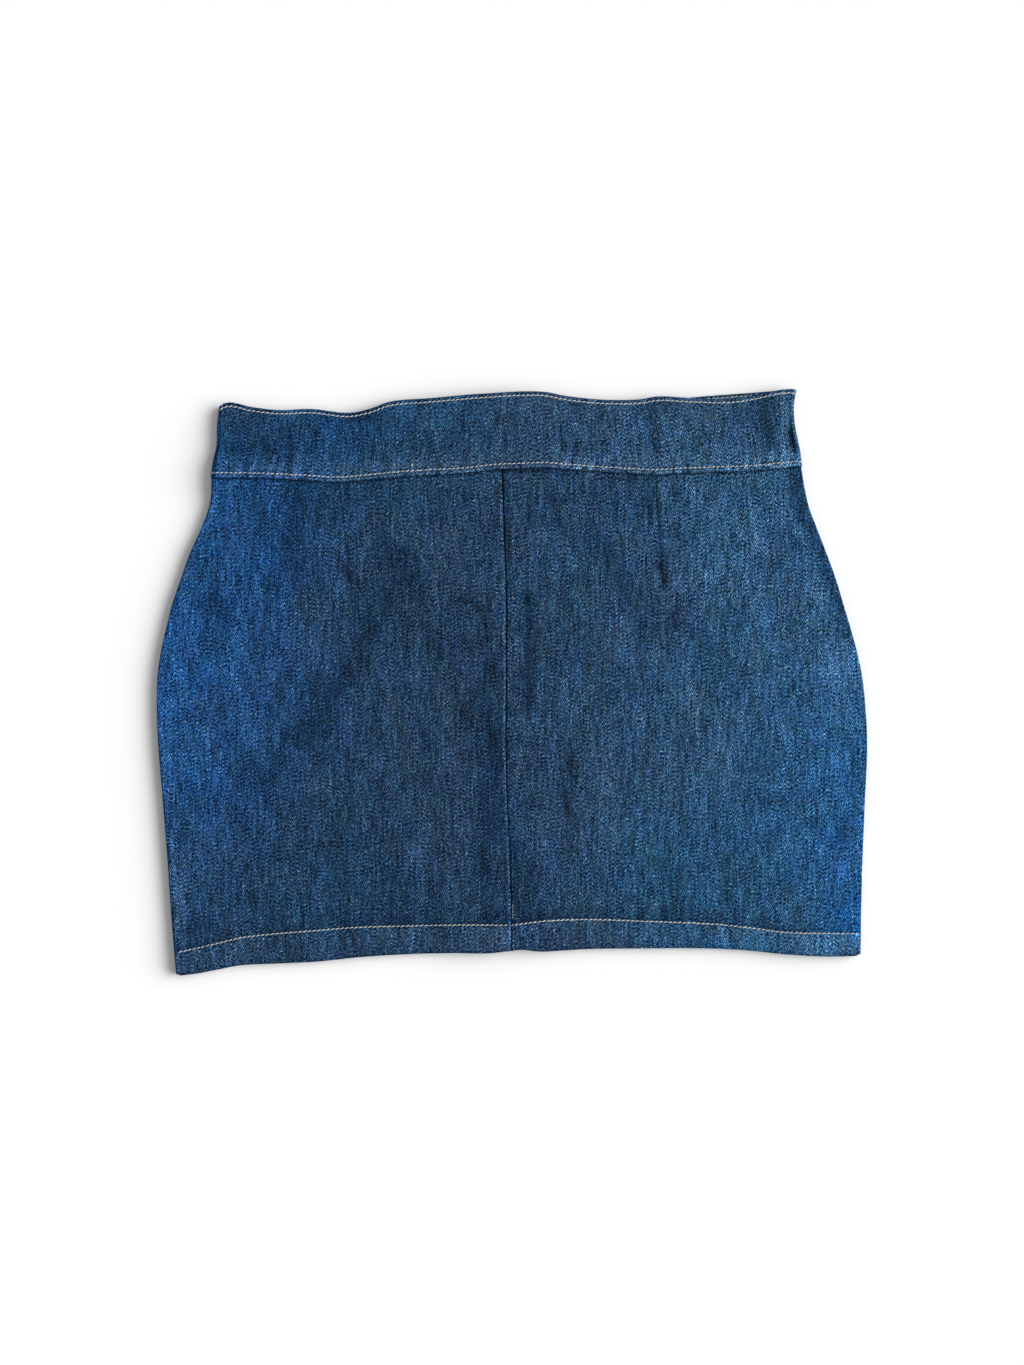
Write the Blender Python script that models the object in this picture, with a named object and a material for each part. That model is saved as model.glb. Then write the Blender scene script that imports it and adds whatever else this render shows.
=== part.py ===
# Denim mini skirt, laid flat on its back.
#
# Two front panels with a centre seam and a dart each, two back panels with a concealed zip
# between them, and one folded waistband round the top. Every piece is a wall of cloth, with
# its hem and seam margins turned in as they are sewn.
#
# Sizes are in millimetres: x runs across the skirt, y from hem to waist, z up from the surface
# that it lies on. Left and right are as seen from above. Nothing here needs another file.

import math
from bisect import bisect_right
from collections import namedtuple

import bmesh
import bpy

MM = 0.001

# ---- the cloth and how its layers stack -------------------------------------------------

CLOTH = 1.0                               # one layer of denim
SEAM_GAP = 0.3                            # clearance between layers and at seams
LAYER = CLOTH + SEAM_GAP                  # from the middle of one layer to the next
FOLD_RADIUS = LAYER / 2                   # middle line of cloth turned back on itself
FOLD_REACH = FOLD_RADIUS + CLOTH / 2      # from a fold's centre to its outer edge
FOLD_STEPS = 3

BACK_LEVEL = CLOTH / 2                    # middle of the back cloth, its face on z = 0
FRONT_LEVEL = BACK_LEVEL + 3 * LAYER      # room for both faces' margins between them

SEAM_MARGIN = 9.5                         # cloth turned in along the side and centre seams
SLOT_DEPTH = 8.5                          # panel's top margin inside the waistband
SLOT_INSET = 2.5 * LAYER + CLOTH / 2 + 1.5    # its sides stop inside the band's turns
SLOT_CLEARANCE = 1.0                      # from that margin to the band's joined layers
BAND_TAPER = 6.0                          # height over which the band's layers close up
BAND_RISE = 14.0                          # length over which a panel rises to the band
RISE_END = 2.0                            # the rise ends this far below the band
SLOT_END = 0.5                            # a panel is narrow down to here below the band
SIDE_START = 1.0                          # and has its full width from here
HEM_START = 3.0                           # its seam margins stop this far above the hem
EDGE_TRIM = 0.2                           # a cut edge stays this far inside the outline

# ---- outline ----------------------------------------------------------------------------

# level, left edge, right edge of the panels
PANEL_SIDES = (
    (141.0, -192.4, 184.4),
    (120.0, -192.6, 188.2),
    (112.0, -194.0, 190.2),
    (97.0, -199.6, 195.8),
    (82.0, -206.4, 201.6),
    (66.0, -212.0, 207.4),
    (51.0, -217.2, 211.9),
    (36.0, -221.0, 216.4),
    (20.0, -224.6, 220.8),
    (5.0, -226.8, 224.0),
    (-15.0, -227.4, 226.2),
    (-40.0, -226.4, 227.42),
    (-75.0, -223.6, 226.0),
    (-114.0, -220.5, 224.4),
    (-150.0, -218.0, 223.5),
    (-190.0, -214.8, 223.0),
)

# level, left end, right end of the waistband
BAND_SIDES = (
    (190.0, -187.0, 182.8),
    (178.0, -187.6, 180.6),
    (166.0, -188.8, 181.1),
    (151.0, -189.4, 184.0),
    (143.0, -191.2, 185.2),
    (128.0, -193.4, 186.6),
)

# place across, level of the waistband's top edge at the front
FRONT_WAIST = (
    (-188.0, 177.4), (-180.0, 179.2), (-168.0, 176.5), (-148.0, 174.2), (-129.0, 175.0),
    (-104.0, 172.6), (-92.0, 174.8), (-78.0, 179.6), (-52.0, 181.8), (-20.0, 184.4),
    (21.0, 185.6), (33.0, 183.4), (56.0, 181.0), (82.0, 181.2), (93.0, 183.0),
    (114.0, 182.0), (140.0, 181.6), (155.0, 183.8), (167.0, 186.4), (178.0, 187.8),
    (183.0, 187.4),
)

# place across, level of its top edge at the back, which shows above the front's on the right
BACK_WAIST = (
    (-188.0, 176.6), (-148.0, 172.8), (-104.0, 171.4), (-78.0, 177.8), (-20.0, 182.8),
    (21.0, 184.2), (56.0, 179.8), (82.0, 179.8), (104.0, 181.6), (121.0, 183.3),
    (150.0, 185.5), (166.0, 186.7), (178.0, 187.6), (183.0, 187.2),
)

# place across, level of the waistband's lower edge
BAND_SEAM = (
    (-193.0, 130.9), (-165.0, 130.9), (-134.0, 129.6), (-113.0, 128.3), (-93.0, 129.6),
    (-73.0, 131.5), (-52.0, 132.8), (-32.0, 133.6), (-11.0, 136.0), (9.0, 136.8),
    (20.0, 137.2), (40.0, 136.0), (60.0, 134.7), (81.0, 133.4), (91.0, 132.8),
    (111.0, 134.0), (132.0, 134.7), (152.0, 135.4), (173.0, 137.3), (187.0, 138.6),
)

# place across, level of the hem's folded edge, depth of the hem
HEM = (
    (-216.0, -187.95, 14.6), (-201.0, -186.2, 16.0), (-188.0, -183.7, 16.6),
    (-175.0, -181.2, 17.2), (-150.0, -179.9, 18.8), (-124.0, -178.6, 19.6),
    (-99.0, -176.0, 18.9), (-73.0, -174.2, 17.9), (-35.0, -172.7, 17.3),
    (-3.0, -171.5, 16.2), (11.0, -171.0, 17.6), (24.0, -171.3, 19.4), (42.0, -170.3, 18.9),
    (87.0, -170.2, 17.6), (125.0, -170.2, 16.0), (151.0, -171.5, 14.8),
    (176.0, -174.1, 14.2), (202.0, -175.4, 15.0), (224.0, -175.0, 14.4),
)

# level, place of the front's centre seam
CENTRE_SEAM = (
    (190.0, -6.4), (133.0, -6.4), (117.0, -5.8), (90.0, -4.9), (52.0, -3.8),
    (-62.0, -3.7), (-88.0, -2.6), (-114.0, -1.3), (-152.0, -0.5), (-190.0, -0.5),
)
BACK_SEAM = -3.0                          # place of the back's centre seam, which is straight

# level, place of the line on which each dart is sewn, and of the grain line below its tip
LEFT_DART = ((190.0, -113.0), (129.0, -111.2), (66.0, -104.3), (-190.0, -104.3))
RIGHT_DART = ((190.0, 91.0), (129.0, 91.8), (58.0, 96.0), (-190.0, 96.0))
DART_WIDTH = 9.0                          # take-up of a dart at the waistband
DART_END = 92.0                           # level where its folded take-up has run out
DART_END_WIDTH = 2.4
DART_CLOTH = 1.7                          # its two layers, pressed together
DART_CLEARANCE = 0.6                      # below the front panel
DART_TOP = 3.0                            # from the waistband down to the take-up

# ---- relief of the front ----------------------------------------------------------------

Crease = namedtuple("Crease", "route half_width height")

CREASES = (
    # two darts: a fine groove, then a dimple at the tip
    Crease(((-111.0, 127.0), (-105.0, 72.0)), 2.5, -0.3),
    Crease(((-105.4, 78.0), (-104.0, 62.0)), 4.5, -1.2),
    Crease(((91.9, 127.0), (94.6, 76.0)), 2.5, -0.3),
    Crease(((94.6, 78.0), (96.4, 58.0)), 4.5, -1.3),
    # the long soft trough across the left panel
    Crease(((-72.0, 82.0), (-94.0, 27.0), (-116.0, 4.0), (-132.0, -31.0), (-168.0, -63.0)),
           17.0, -1.7),
    # troughs beside the centre seam
    Crease(((-52.0, 21.0), (-32.0, -18.0), (-21.0, -40.0), (-22.0, -110.0)), 9.0, -1.3),
    Crease(((-33.0, 51.0), (-22.0, 40.0), (-21.0, 20.0)), 7.0, -0.9),
    Crease(((17.0, 27.0), (17.0, -14.0)), 8.0, -1.0),
    Crease(((34.0, -31.0), (34.0, -101.0)), 9.0, -0.9),
    # soft swellings
    Crease(((114.0, 5.0), (114.0, -35.0)), 26.0, 0.7),
    Crease(((-150.0, 90.0), (-185.0, 20.0)), 24.0, 0.6),
    Crease(((-60.0, -60.0), (-95.0, -120.0)), 24.0, 0.6),
    Crease(((70.0, 60.0), (60.0, 10.0)), 20.0, 0.5),
    Crease(((150.0, -90.0), (170.0, -130.0)), 22.0, 0.6),
)
CREASE_FADE = 26.0                        # creases run out towards the edges of a panel
CREASE_EDGE = 12.0
CREASE_SEAM = 10.0

# place across, half width, height of the waistband's upright waves
BAND_WAVES = (
    (-150.0, 16.0, 0.4), (-104.0, 12.0, -0.4), (-60.0, 18.0, 0.3), (58.0, 14.0, 0.3),
    (89.0, 7.0, -0.5), (118.0, 12.0, 0.3), (162.0, 7.0, -0.5), (173.0, 5.0, 0.3),
)
BAND_DROP = 0.8                           # the front band's upper half lies lower

SEAM_STEP = 0.35                          # lift of the centre seam's lowest layer
SEAM_PLATEAU = 10.5                       # the left panel lies on the margins this far
SEAM_FADE = 24.0
SEAM_START = 14.0                         # below the band, the margins are at full height
SEAM_SHOULDER = 1.6                       # the right panel swells beside the seam
SHOULDER_RISE = 3.0
SHOULDER_FADE = 16.0

# ---- zip --------------------------------------------------------------------------------

ZIP_BOTTOM = 12.0                         # level of the zip's lower end
ZIP_GAP = 0.3                             # from the back seam to each coil
TAPE_EDGE = 9.0                           # outer edge of a tape, from the seam
TAPE = 0.5
COIL_WIDTH = 2.0
COIL_HEIGHT = 1.3
ZIP_STATIONS = 22

SLIDER_BELOW_TOP = 7.0                    # from the waistband's top edge to the slider
SLIDER = (5.2, 8.0, 1.5)                  # its body, inside the skirt
SLIDER_BEVEL = 0.5
FIN_THICKNESS = 0.7                       # its fin, through the gap between the band's ends
FIN_HOLE = 0.75                           # radius of the hole that the pull hangs in
FIN_RIM = 0.35
PIVOT_DEPTH = 0.75                        # from the band's face down to the pivot
BAND_END_GAP = 0.65                       # from the back seam to each end of the band

PULL_LENGTH = 16.0
PULL_WIDTH = 5.0
PULL_THICKNESS = 0.8
PULL_BAR = 0.7                            # bar that passes through the fin's hole
PULL_WINDOW = (0.7, 3.0)                  # half width and length of the window round the fin

LIFT_FLAT = 10.0                          # the cloth is lifted by the zip this far each side
LIFT_FADE = 26.0
BACK_LIFT = 2.1                           # room for the pull under the back band
FRONT_LIFT_LOW = 2.1                      # room for the coil, at the band's lower edge
FRONT_LIFT_TOP = 2.8                      # room for the slider, above it
LIFT_FROM = 10.0                          # levels above the band's lower edge
LIFT_FULL = 24.0
LIFT_RUN_OUT = 30.0                       # below the band

# ---- how finely the pieces are divided ----------------------------------------------------

FRONT_ROWS = 15                           # from the waistband down to the hem
BACK_ROWS = 8
TURN_UP_SHARES = (0.5, 0.97)              # rows of the hem's turned-up side
OUTER_SHARES = (0.0, 0.03, 0.10, 0.20, 0.31, 0.43, 0.55, 0.67, 0.79, 0.90, 0.972)
INNER_SHARES = (0.0, 0.035, 0.14, 0.27, 0.40, 0.53, 0.66, 0.77, 0.86, 0.93)
BACK_SHARES = (0.0, 0.07, 0.2, 0.35, 0.5, 0.65, 0.8, 0.93, 1.0)
UNDER_SEAM = (SEAM_MARGIN, 5.0, 1.2)      # columns of the margin under the left front panel
DART_ROWS = 6
DART_COLUMNS = 2
BAND_SHARES = (0.0, 0.21, 0.36, 0.5, 0.7)    # rows of a layer, as shares of the band's height
TURN_STEPS = 4
FRONT_BAND_CELLS = 40
BACK_BAND_CELLS = 9
FIN_SIDES = 16
PULL_SIDES = 20
SOLVE_STEPS = 4                           # a point's place and level depend on each other

DENIM = (0.022, 0.060, 0.125)
DENIM_DARK = (0.016, 0.045, 0.095)
TAPE_BLUE = (0.010, 0.018, 0.040)
METAL = (0.36, 0.34, 0.31)


# ---- helpers ----------------------------------------------------------------------------

def clear_scene():
    for obj in list(bpy.data.objects):
        bpy.data.objects.remove(obj, do_unlink=True)


def curve(rows, column=1):
    """A smooth curve through a table's rows, its first column the key."""
    rows = sorted(rows)
    keys = [row[0] for row in rows]
    values = [row[column] for row in rows]
    spans = [(values[i + 1] - values[i]) / (keys[i + 1] - keys[i]) for i in range(len(rows) - 1)]
    slopes = [spans[0]] + [(a + b) / 2 for a, b in zip(spans, spans[1:])] + [spans[-1]]

    def at(key):
        key = min(max(key, keys[0]), keys[-1])
        i = min(bisect_right(keys, key), len(keys) - 1) - 1
        width = keys[i + 1] - keys[i]
        t = (key - keys[i]) / width
        start = values[i] * (1 + 2 * t) * (1 - t) ** 2 + slopes[i] * width * t * (1 - t) ** 2
        end = values[i + 1] * (3 - 2 * t) * t ** 2 - slopes[i + 1] * width * t ** 2 * (1 - t)
        return start + end

    return at


panel_left = curve(PANEL_SIDES, 1)
panel_right = curve(PANEL_SIDES, 2)
band_left = curve(BAND_SIDES, 1)
band_right = curve(BAND_SIDES, 2)
front_waist = curve(FRONT_WAIST)
back_waist = curve(BACK_WAIST)
band_seam = curve(BAND_SEAM)
hem_edge = curve(HEM, 1)
hem_depth = curve(HEM, 2)
centre_seam = curve(CENTRE_SEAM)
left_dart = curve(LEFT_DART)
right_dart = curve(RIGHT_DART)


def mix(a, b, share):
    return a + (b - a) * share


def ease(value):
    """Rises smoothly from 0 to 1 as value does."""
    value = min(max(value, 0.0), 1.0)
    return value * value * (3 - 2 * value)


def bell(distance, flat, fade):
    """1 as far as flat, then falling smoothly to 0 over fade."""
    return 1 - ease((abs(distance) - flat) / fade)


def swell(distance, half_width):
    return math.exp(-(distance / half_width) ** 2)


def route_distance(x, y, route):
    """From a point to the nearest place on a crease's route."""
    nearest = math.inf
    for (ax, ay), (bx, by) in zip(route, route[1:]):
        dx, dy = bx - ax, by - ay
        along = ((x - ax) * dx + (y - ay) * dy) / (dx * dx + dy * dy)
        along = min(max(along, 0.0), 1.0)
        nearest = min(nearest, math.hypot(x - ax - along * dx, y - ay - along * dy))
    return nearest


# ---- heights of the cloth ---------------------------------------------------------------

def above_band_seam(x, y):
    return y - band_seam(x)


def zip_lift(x, y, low, top):
    """Lift over the zip: low at the band's lower edge, top from the pull upwards."""
    above = above_band_seam(x, y)
    lift = mix(low, top, ease((above - LIFT_FROM) / (LIFT_FULL - LIFT_FROM)))
    beside = bell(x - BACK_SEAM, LIFT_FLAT, LIFT_FADE)
    return lift * beside * bell(min(above, 0.0), 0.0, LIFT_RUN_OUT)


def band_layer(x, y):
    """Distance from the band's middle to each of its two layers."""
    closing = (above_band_seam(x, y) - SLOT_DEPTH - SLOT_CLEARANCE) / BAND_TAPER
    return mix(LAYER, FOLD_RADIUS, ease(closing))


def rise_to_band(x, y):
    return LAYER * ease((above_band_seam(x, y) + BAND_RISE + RISE_END) / BAND_RISE)


def back_height(x, y):
    """Middle of a back panel."""
    return BACK_LEVEL + rise_to_band(x, y)


def back_band_height(x, y):
    """Middle of the waistband at the back: its outer layer lies on the surface."""
    return BACK_LEVEL + band_layer(x, y) + zip_lift(x, y, 0.0, BACK_LIFT)


def crease_height(x, y):
    total = sum(c.height * swell(route_distance(x, y, c.route), c.half_width) for c in CREASES)
    side = min(x - panel_left(y), panel_right(y) - x)
    ends = min(y - hem_edge(x) - hem_depth(x), -above_band_seam(x, y))
    inside = ease((side - CREASE_EDGE) / CREASE_FADE) * ease(ends / CREASE_EDGE)
    return total * inside * ease((abs(x - centre_seam(y)) - CREASE_SEAM) / CREASE_SEAM)


def front_height(x, y):
    """Middle of the front cloth, away from the centre seam's margins."""
    lift = zip_lift(x, y, FRONT_LIFT_LOW, FRONT_LIFT_TOP)
    return FRONT_LEVEL + rise_to_band(x, y) + lift + crease_height(x, y)


def front_band_height(x, y):
    """Middle of the waistband at the front."""
    above = above_band_seam(x, y)
    upper = ease((above - SLOT_DEPTH - SLOT_CLEARANCE) / BAND_TAPER)
    waves = sum(height * swell(x - place, width) for place, width, height in BAND_WAVES)
    lift = zip_lift(x, y, FRONT_LIFT_LOW, FRONT_LIFT_TOP)
    return FRONT_LEVEL + LAYER + lift + upper * (waves - BAND_DROP)


def seam_presence(x, y):
    return ease((-above_band_seam(x, y) - RISE_END) / (SEAM_START - RISE_END))


def front_left_height(x, y):
    """The left panel lies on both margins of the centre seam, which are pressed under it."""
    beside = bell(x - centre_seam(y), SEAM_PLATEAU, SEAM_FADE)
    return front_height(x, y) + (SEAM_STEP + 2 * LAYER) * beside * seam_presence(x, y)


def front_right_height(x, y):
    """The right panel swells beside the seam, then passes under the left panel's margin."""
    past = x - centre_seam(y)
    rise = SEAM_STEP * bell(past, SEAM_PLATEAU, SEAM_FADE)
    if past > 0:
        shoulder = ease(past / SHOULDER_RISE) * bell(past, SHOULDER_RISE, SHOULDER_FADE)
        rise += SEAM_SHOULDER * shoulder
    return front_height(x, y) + rise * seam_presence(x, y)


# ---- pieces of cloth --------------------------------------------------------------------

# A piece of cloth is a grid of rows and columns. A row gives its level at a place across, a
# column its place at a level, and each adds its own rise to the cloth's height. Columns that
# belong to a turned-in margin exist only on the rows that name that margin.
Row = namedtuple("Row", "level rise margins")
Column = namedtuple("Column", "place rise margin")


def finish(name, mesh, color, roughness, metallic=0.0):
    material = bpy.data.materials.new(name)
    material.use_nodes = True
    shader = material.node_tree.nodes["Principled BSDF"]
    shader.inputs["Base Color"].default_value = (*color, 1.0)
    shader.inputs["Roughness"].default_value = roughness
    shader.inputs["Metallic"].default_value = metallic
    mesh.materials.append(material)
    obj = bpy.data.objects.new(name, mesh)
    bpy.context.scene.collection.objects.link(obj)
    return obj


def cloth(name, points, thickness=CLOTH, color=DENIM):
    """A wall of cloth round a grid of points on its middle surface."""
    bm = bmesh.new()
    verts = {key: bm.verts.new([value * MM for value in point]) for key, point in points.items()}
    for i, j in points:
        corners = ((i, j), (i + 1, j), (i + 1, j + 1), (i, j + 1))
        if all(corner in verts for corner in corners):
            bm.faces.new([verts[corner] for corner in corners])
    mesh = bpy.data.meshes.new(name)
    bm.to_mesh(mesh)
    bm.free()
    mesh.shade_smooth()
    obj = finish(name, mesh, color, 0.85)
    wall = obj.modifiers.new("wall", "SOLIDIFY")
    wall.thickness = thickness * MM
    wall.offset = 0.0
    wall.use_even_offset = True
    return obj


def solid(name, rings, color, roughness, metallic=0.0):
    """A closed solid through rings of equal length, the first and last of them capped."""
    bm = bmesh.new()
    loops = [[bm.verts.new([value * MM for value in point]) for point in ring] for ring in rings]
    for low, high in zip(loops, loops[1:]):
        for i in range(len(low)):
            j = (i + 1) % len(low)
            bm.faces.new((low[i], low[j], high[j], high[i]))
    bm.faces.new(loops[0])
    bm.faces.new(loops[-1])
    bmesh.ops.recalc_face_normals(bm, faces=bm.faces)
    mesh = bpy.data.meshes.new(name)
    bm.to_mesh(mesh)
    bm.free()
    return finish(name, mesh, color, roughness, metallic)


def frame_plate(name, outer, inner, place, color, roughness, metallic=0.0):
    """A plate with a window: two outlines of equal length, each placed on both faces."""
    bm = bmesh.new()
    loops = []
    for outline, side in ((outer, -1), (outer, 1), (inner, 1), (inner, -1)):
        loops.append([bm.verts.new([value * MM for value in place(a, b, side)]) for a, b in outline])
    for low, high in zip(loops, loops[1:] + loops[:1]):
        for i in range(len(low)):
            j = (i + 1) % len(low)
            bm.faces.new((low[i], low[j], high[j], high[i]))
    bmesh.ops.recalc_face_normals(bm, faces=bm.faces)
    mesh = bpy.data.meshes.new(name)
    bm.to_mesh(mesh)
    bm.free()
    return finish(name, mesh, color, roughness, metallic)


def fold_turns():
    """Angles at the middle steps and the end of a half turn."""
    return [math.pi * step / FOLD_STEPS for step in range(1, FOLD_STEPS + 1)]


def panel_rows(inward, body_cells):
    """Rows from the margin inside the waistband down to the hem and up its turned side.

    inward is the direction of the skirt's inside: -1 for the front, 1 for the back.
    """
    def from_seam(distance):
        return lambda x: band_seam(x) + distance

    def body(share):
        return lambda x: mix(band_seam(x) - SEAM_START, hem_edge(x) + hem_depth(x) + HEM_START, share)

    def hem(share, lower=0.0):
        return lambda x: hem_edge(x) + mix(FOLD_REACH, hem_depth(x), share) - lower

    slot = (SLOT_DEPTH, SLOT_DEPTH / 2, -SLOT_END)
    rows = [Row(from_seam(distance), 0.0, ("slot",)) for distance in slot]
    rows.append(Row(from_seam(-SIDE_START), 0.0, ("side",)))
    rows += [Row(body(n / body_cells), 0.0, ("side", "centre")) for n in range(body_cells + 1)]
    rows += [Row(hem(share), 0.0, ()) for share in (1.0, 0.5, 0.0)]
    for turn in fold_turns():
        drop = FOLD_RADIUS * (1 - math.cos(turn))
        rows.append(Row(hem(0.0, FOLD_RADIUS * math.sin(turn)), inward * drop, ()))
    rows += [Row(hem(share), inward * LAYER, ()) for share in TURN_UP_SHARES]
    return rows


def edge_inset(margins, name):
    """How far the flat of a panel stops short of its outline."""
    if "slot" in margins:
        return SLOT_INSET if name == "side" else EDGE_TRIM
    return FOLD_REACH if name in margins else EDGE_TRIM


def turned_margin(edge, away, name, inward):
    """Columns of a margin folded in at an edge; away points from the panel to that edge."""
    columns = []
    for turn in fold_turns():
        reach = FOLD_RADIUS * math.sin(turn) - FOLD_REACH
        drop = FOLD_RADIUS * (1 - math.cos(turn))
        columns.append(Column(lambda y, m, r=reach: edge(y) + away * r, inward * drop, name))
    for width in (SEAM_MARGIN / 2, SEAM_MARGIN):
        columns.append(Column(lambda y, m, w=width: edge(y) - away * w, inward * LAYER, name))
    return columns


def flat_columns(start, end, shares):
    """Columns across a panel; start and end give the place at a level for a row's margins."""
    return [Column(lambda y, m, s=share: mix(start(y, m), end(y, m), s), 0.0, None) for share in shares]


def panel_points(rows, columns, height):
    points = {}
    for j, row in enumerate(rows):
        for i, column in enumerate(columns):
            if column.margin and column.margin not in row.margins:
                continue
            x, y = 0.0, 0.0
            for _ in range(SOLVE_STEPS):
                x = column.place(y, row.margins)
                y = row.level(x)
            points[i, j] = (x, y, height(x, y) + row.rise + column.rise)
    return points


def front_left_panel():
    rows = panel_rows(-1, FRONT_ROWS)

    def side(y, m):
        return panel_left(y) + edge_inset(m, "side")

    def seam_line(y):
        return centre_seam(y) - SEAM_GAP / 2

    def seam(y, m):
        return seam_line(y) - edge_inset(m, "centre")

    columns = turned_margin(panel_left, -1, "side", -1)[::-1]
    columns += flat_columns(side, lambda y, m: left_dart(y), OUTER_SHARES)
    columns += flat_columns(lambda y, m: left_dart(y), seam, INNER_SHARES + (1.0,))
    columns += turned_margin(seam_line, 1, "centre", -1)
    return cloth("front_panel_left", panel_points(rows, columns, front_left_height))


def front_right_panel():
    rows = panel_rows(-1, FRONT_ROWS)

    def side(y, m):
        return panel_right(y) - edge_inset(m, "side")

    def seam(y, m):
        return centre_seam(y) + SEAM_GAP / 2

    columns = [Column(lambda y, m, w=w: centre_seam(y) - w, 0.0, "centre") for w in UNDER_SEAM]
    inner = [1.0 - share for share in reversed(INNER_SHARES)]
    outer = [1.0 - share for share in reversed(OUTER_SHARES)]
    columns += flat_columns(seam, lambda y, m: right_dart(y), [0.0] + inner)
    columns += flat_columns(lambda y, m: right_dart(y), side, outer)
    columns += turned_margin(panel_right, 1, "side", -1)
    return cloth("front_panel_right", panel_points(rows, columns, front_right_height))


def back_panel(name, side_edge, direction):
    """Half of the back; direction is -1 on the left and 1 on the right."""
    rows = panel_rows(1, BACK_ROWS)

    def seam_line(y):
        return BACK_SEAM + direction * SEAM_GAP / 2

    def seam(y, m):
        return seam_line(y) + direction * edge_inset(m, "centre")

    def side(y, m):
        return side_edge(y) - direction * edge_inset(m, "side")

    columns = turned_margin(seam_line, -direction, "centre", 1)[::-1]
    columns += flat_columns(seam, side, BACK_SHARES)
    columns += turned_margin(side_edge, direction, "side", 1)
    return cloth(name, panel_points(rows, columns, back_height), color=DENIM_DARK)


def dart_take_up(name, line, towards_centre):
    """The dart's cloth, doubled and pressed towards the centre under the front panel."""
    under = CLOTH / 2 + DART_CLEARANCE + DART_CLOTH / 2
    height = front_left_height if towards_centre > 0 else front_right_height
    top = band_seam(line(DART_END)) - DART_TOP
    points = {}
    for j in range(DART_ROWS + 1):
        y = mix(top, DART_END, j / DART_ROWS)
        width = mix(DART_WIDTH, DART_END_WIDTH, j / DART_ROWS)
        for i in range(DART_COLUMNS + 1):
            x = line(y) + towards_centre * width * i / DART_COLUMNS
            points[i, j] = (x, y, height(x, y) - under)
    return cloth(name, points, DART_CLOTH)


# ---- waistband --------------------------------------------------------------------------

BandRow = namedtuple("BandRow", "share side below_top")


def band_rows():
    """Up the inner layer, over the fold along the top edge and down the outer layer."""
    inner = [BandRow(share, -1.0, None) for share in BAND_SHARES]
    top = []
    for step in range(FOLD_STEPS + 1):
        turn = math.pi * (step / FOLD_STEPS - 0.5)
        top.append(BandRow(1.0, math.sin(turn), FOLD_REACH - FOLD_RADIUS * math.cos(turn)))
    outer = [BandRow(share, 1.0, None) for share in reversed(BAND_SHARES)]
    return inner + top + outer


def band_level(row, x, waist):
    if row.below_top is not None:
        return waist(x) - row.below_top
    return mix(band_seam(x), waist(x) - FOLD_REACH, row.share)


def band_point(row, station):
    """A point of the band; a station is on the front, the back or the turn between them."""
    kind, share, turn = station
    waist = back_waist if kind == "back" else front_waist
    x = 0.0
    for _ in range(SOLVE_STEPS):
        y = band_level(row, x, waist)
        front = front_band_height(x, y)
        back = back_band_height(x, y)
        radius = (front - back) / 2
        layer = band_layer(x, y)
        inset = radius + layer + CLOTH / 2
        left, right = band_left(y) + inset, band_right(y) - inset
        if kind == "front":
            x = mix(right, left, share)
        elif kind == "back":
            end = BACK_SEAM + math.copysign(BAND_END_GAP, share)
            x = mix(end, right if share > 0 else left, abs(share) - 1.0)
        else:
            x = right if share > 0 else left
    reach = radius + row.side * layer
    if kind == "front":
        return (x, y, front + row.side * layer)
    if kind == "back":
        return (x, y, back - row.side * layer)
    level = (band_level(row, x, front_waist) + band_level(row, x, back_waist)) / 2
    middle = (front + back) / 2
    return (x + share * reach * math.cos(turn), level, middle + reach * math.sin(turn))


def waistband():
    """One strip from the zip round the right side, the front and the left side to the zip."""
    turns = [math.pi * (n / TURN_STEPS - 0.5) for n in range(1, TURN_STEPS)]
    back = [1.0 + n / BACK_BAND_CELLS for n in range(BACK_BAND_CELLS + 1)]
    stations = [("back", share, 0.0) for share in back]
    stations += [("turn", 1.0, turn) for turn in turns]
    stations += [("front", n / FRONT_BAND_CELLS, 0.0) for n in range(FRONT_BAND_CELLS + 1)]
    stations += [("turn", -1.0, -turn) for turn in turns]
    stations += [("back", -share, 0.0) for share in reversed(back)]
    points = {}
    for i, station in enumerate(stations):
        for j, row in enumerate(band_rows()):
            points[i, j] = band_point(row, station)
    return cloth("waistband", points)


# ---- zip --------------------------------------------------------------------------------

def inside_of_back(y):
    """Height that the zip rests on: the margins below the waistband, then the band itself."""
    above = above_band_seam(BACK_SEAM, y)
    if above < 0:
        return back_height(BACK_SEAM, y) + LAYER + CLOTH / 2
    low = BACK_LEVEL + 2 * LAYER + CLOTH / 2
    top = BACK_LEVEL + LAYER + CLOTH / 2 + BACK_LIFT
    return mix(low, top, min(above / LIFT_FULL, 1.0))


def slider_level():
    return back_waist(BACK_SEAM) - SLIDER_BELOW_TOP


def zip_half(name, direction):
    """A tape with its coil along the inner edge, sewn to the margin of a back panel."""
    coil_edge = ZIP_GAP + COIL_WIDTH
    section = ((ZIP_GAP, 0.0), (coil_edge, 0.0), (TAPE_EDGE, 0.0), (TAPE_EDGE, TAPE),
               (coil_edge, TAPE), (coil_edge, COIL_HEIGHT), (ZIP_GAP, COIL_HEIGHT))
    top = slider_level() - SLIDER[1] / 2 - SEAM_GAP
    rings = []
    for n in range(ZIP_STATIONS + 1):
        y = mix(ZIP_BOTTOM, top, n / ZIP_STATIONS)
        base = inside_of_back(y) + SEAM_GAP
        rings.append([(BACK_SEAM + direction * x, y, base + z) for x, z in section])
    return solid(name, rings, TAPE_BLUE, 0.7)


def pivot():
    """Where the pull's bar lies, in the fin's hole."""
    y = slider_level()
    face = back_band_height(BACK_SEAM, y) - band_layer(BACK_SEAM, y) - CLOTH / 2
    return (BACK_SEAM, y, face - PIVOT_DEPTH)


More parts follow.
